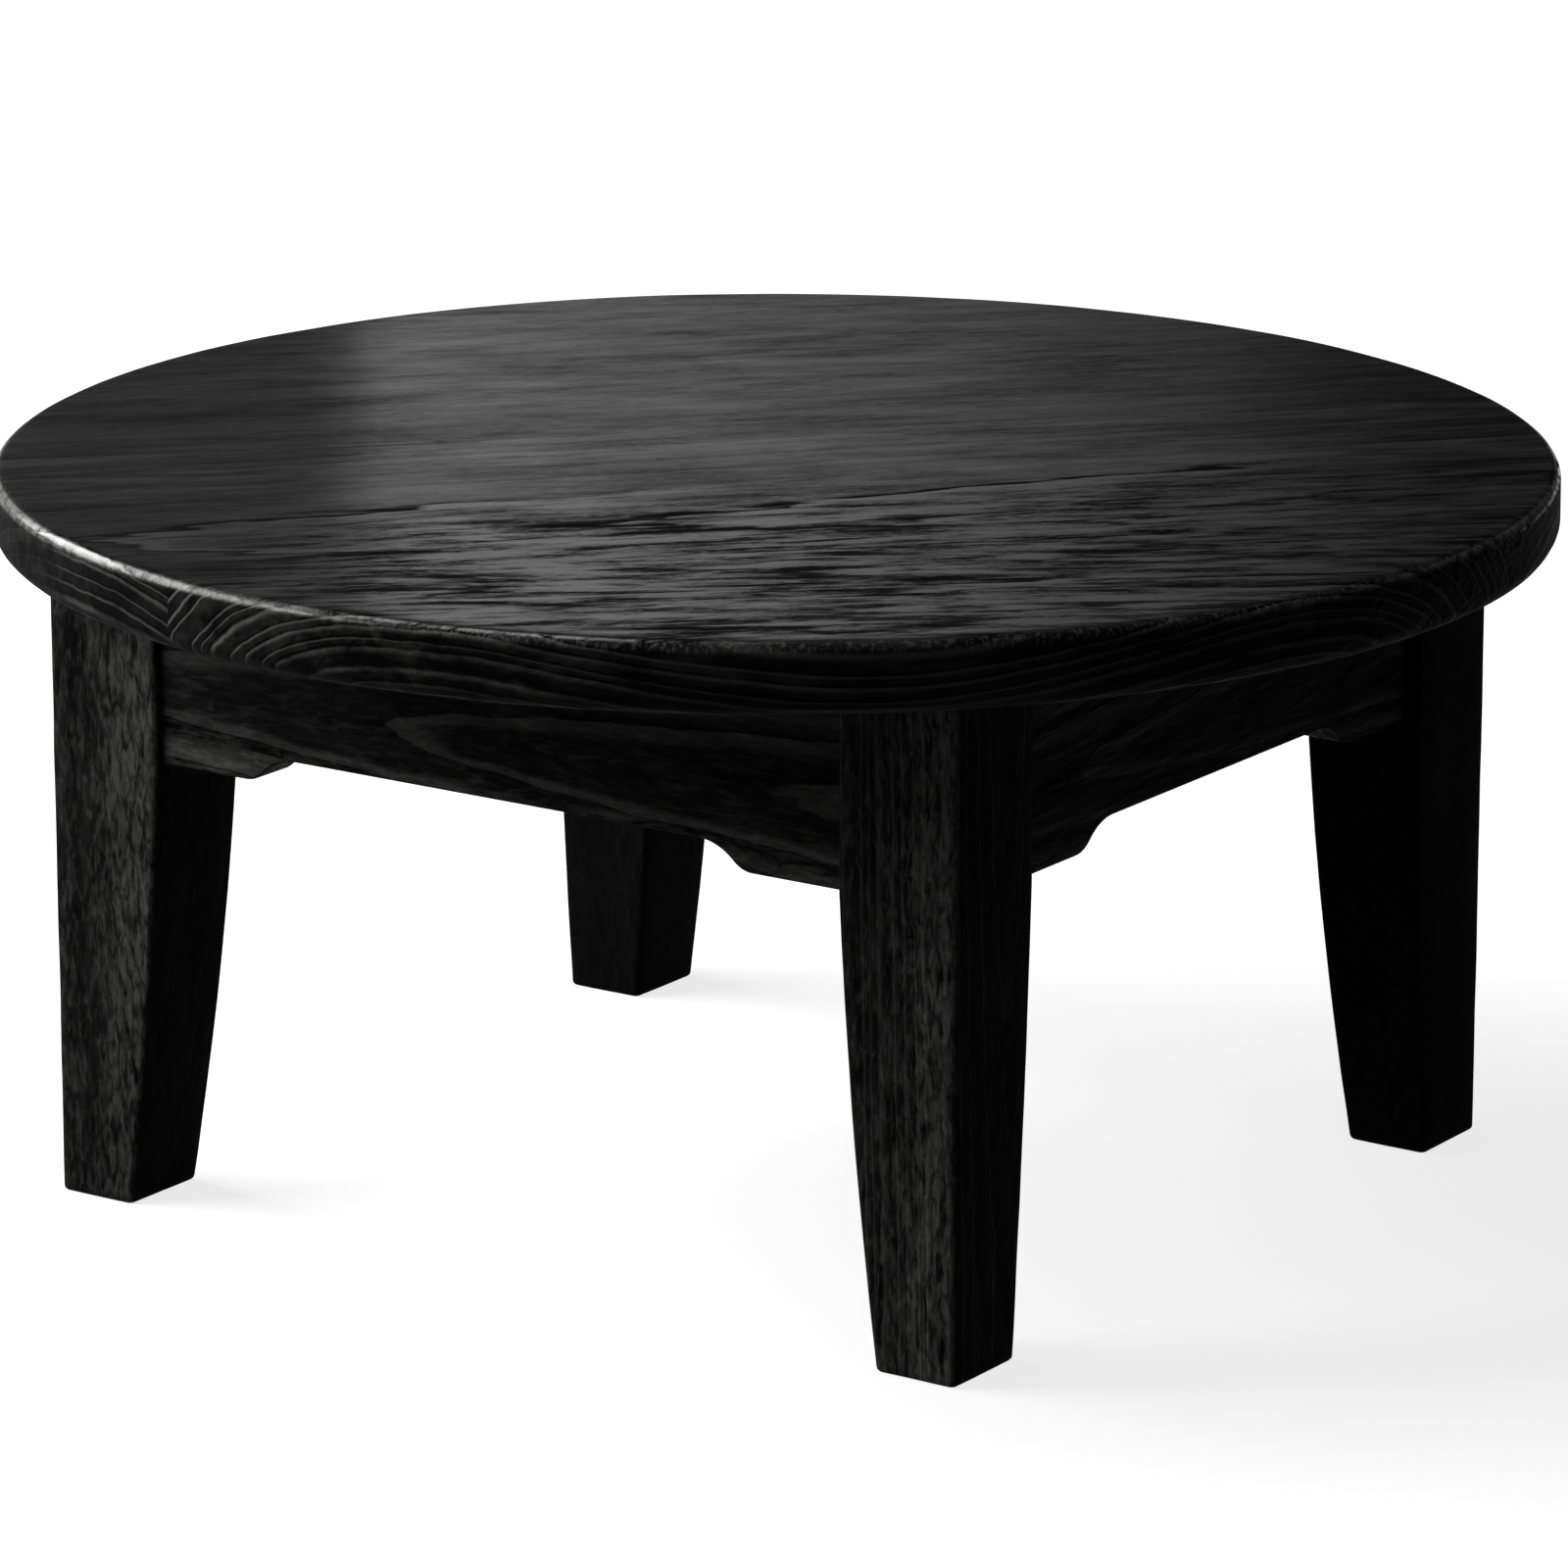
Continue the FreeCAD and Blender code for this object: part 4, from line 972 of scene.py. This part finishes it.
def floor_finish():
    """A pale floor, paler to the eye than in the light that it throws back."""
    material = bpy.data.materials.new("pale_floor")
    material.use_nodes = True
    tree = material.node_tree
    shader = tree.nodes["Principled BSDF"]
    rays = tree.nodes.new("ShaderNodeLightPath")
    seen = Tone(rays.outputs["Is Camera Ray"]) + Tone(rays.outputs["Is Glossy Ray"])
    seen = (seen + Tone(rays.outputs["Is Transmission Ray"])).math("MINIMUM", 1.0)
    lightness = seen * 0.40 + 0.10
    colour = lightness.node("ShaderNodeCombineColor", {0: lightness, 1: lightness, 2: lightness})
    tree.links.new(colour.socket, shader.inputs["Base Color"])
    shader.inputs["Emission Strength"].default_value = 1.0
    texture = tree.nodes.new("ShaderNodeTexCoord")
    distance = distance_out(Tone(texture.outputs["Object"]))
    glow = seen * distance.ease(SHADED_TO, WHITE_FROM, 0.80, 1.0)
    tree.links.new(glow.node("ShaderNodeCombineColor", {0: glow, 1: glow, 2: glow}).socket,
                   shader.inputs["Emission Color"])
    shader.inputs["Roughness"].default_value = 0.9
    shader.inputs["Specular IOR Level"].default_value = 0.0
    return material


bpy.ops.object.select_all(action="DESELECT")
bpy.ops.mesh.primitive_plane_add(size=2 * FLOOR_HALF, location=(0, 0, 0))
floor = bpy.context.object
floor.name = "floor"
floor.data.materials.append(floor_finish())


def soft_lamp(name, azimuth, elevation, distance, size, power, height=None):
    """A square or oblong soft lamp, seen from the table at an azimuth from +X and an elevation."""
    light = bpy.data.lights.new(name, "AREA")
    light.energy = power
    light.shape = "RECTANGLE"
    light.size = size
    light.size_y = height or size
    lamp = bpy.data.objects.new(name, light)
    bpy.context.scene.collection.objects.link(lamp)
    a, e = math.radians(azimuth), math.radians(elevation)
    away = Vector((math.cos(a) * math.cos(e), math.sin(a) * math.cos(e), math.sin(e)))
    lamp.location = Vector(LAMP_AIM) + away * distance
    lamp.rotation_mode = "QUATERNION"
    lamp.rotation_quaternion = away.to_track_quat("Z", "Y")
    lamp.visible_camera = False


soft_lamp("key_lamp", azimuth=-157, elevation=27, distance=1.35, size=1.5, power=26, height=0.7)
soft_lamp("overhead_lamp", azimuth=-170, elevation=68, distance=2.4, size=1.2, power=15)
soft_lamp("fill_lamp", azimuth=-100, elevation=6, distance=2.6, size=0.7, power=2.5)


def window_card(azimuth, distance, left, edge, right, bottom, top, dim, strength):
    """A glowing card for the top to mirror: dim to the left of an edge, bright to the right of it, then
    fading to nothing, and brighter towards its upper edge."""
    a = math.radians(azimuth)
    away = Vector((math.cos(a), math.sin(a), 0))
    rightwards = Vector((math.sin(a), -math.cos(a), 0))
    bpy.ops.object.select_all(action="DESELECT")
    bpy.ops.mesh.primitive_plane_add(size=1)
    card = bpy.context.object
    card.name = "window_card"
    corners = ((left, bottom), (right, bottom), (left, top), (right, top))
    for vert, (across, level) in zip(card.data.vertices, corners):
        vert.co = away * distance + rightwards * across + Vector((0, 0, level))
    material = bpy.data.materials.new("window_card")
    material.use_nodes = True
    tree = material.node_tree
    shader = tree.nodes["Principled BSDF"]
    shader.inputs["Base Color"].default_value = (0, 0, 0, 1)
    texture = tree.nodes.new("ShaderNodeTexCoord")
    place = Tone(texture.outputs["Object"])
    across = along(place, rightwards)
    level = along(place, (0, 0, 1))
    bright = across.ease(edge, edge + EDGE_BLUR) * across.ease(edge + FADE_START, right, strength, 0.0)
    bright = bright * level.ease(bottom + FOOT_GLOW_FROM, bottom + FOOT_GLOW_TO, 0.70, 1.0)
    glow = bright + across.ease(edge, edge + DIM_END, dim, 0.0)
    tree.links.new(glow.node("ShaderNodeCombineColor", {0: glow, 1: glow, 2: glow}).socket,
                   shader.inputs["Emission Color"])
    shader.inputs["Emission Strength"].default_value = 1.0
    card.data.materials.append(material)
    card.visible_camera = False
    card.visible_shadow = False


window_card(azimuth=124.37, distance=0.9, left=-0.75, edge=-0.22, right=0.38, bottom=0.32, top=0.70,
            dim=0.065, strength=0.62)

world = bpy.data.worlds.new("studio")
world.use_nodes = True
bpy.context.scene.world = world
sky = world.node_tree.nodes["Background"]
sky.inputs["Strength"].default_value = 0.03
sky.inputs["Color"].default_value = (1, 1, 1, 1)


# Camera. A long lens, 15 degrees above the floor and 34 degrees round from the front to the right, so that
# two sides of the frame and all four legs show.

CAMERA_AZIMUTH = math.radians(34.37)
CAMERA_ELEVATION = math.radians(15.19)
CAMERA_DISTANCE = 3.197
CAMERA_AIM = Vector((0.0020, 0.0022, 0.1524))
CAMERA_LENS = 189.3
CAMERA_SENSOR = 36

back = Vector((math.sin(CAMERA_AZIMUTH) * math.cos(CAMERA_ELEVATION),
               -math.cos(CAMERA_AZIMUTH) * math.cos(CAMERA_ELEVATION), math.sin(CAMERA_ELEVATION)))
lens = bpy.data.cameras.new("camera")
lens.lens = CAMERA_LENS
lens.sensor_width = CAMERA_SENSOR
camera = bpy.data.objects.new("camera", lens)
bpy.context.scene.collection.objects.link(camera)
camera.location = CAMERA_AIM + back * CAMERA_DISTANCE
camera.rotation_mode = "QUATERNION"
camera.rotation_quaternion = back.to_track_quat("Z", "Y")
bpy.context.scene.camera = camera
bpy.context.scene.view_settings.view_transform = "Standard"
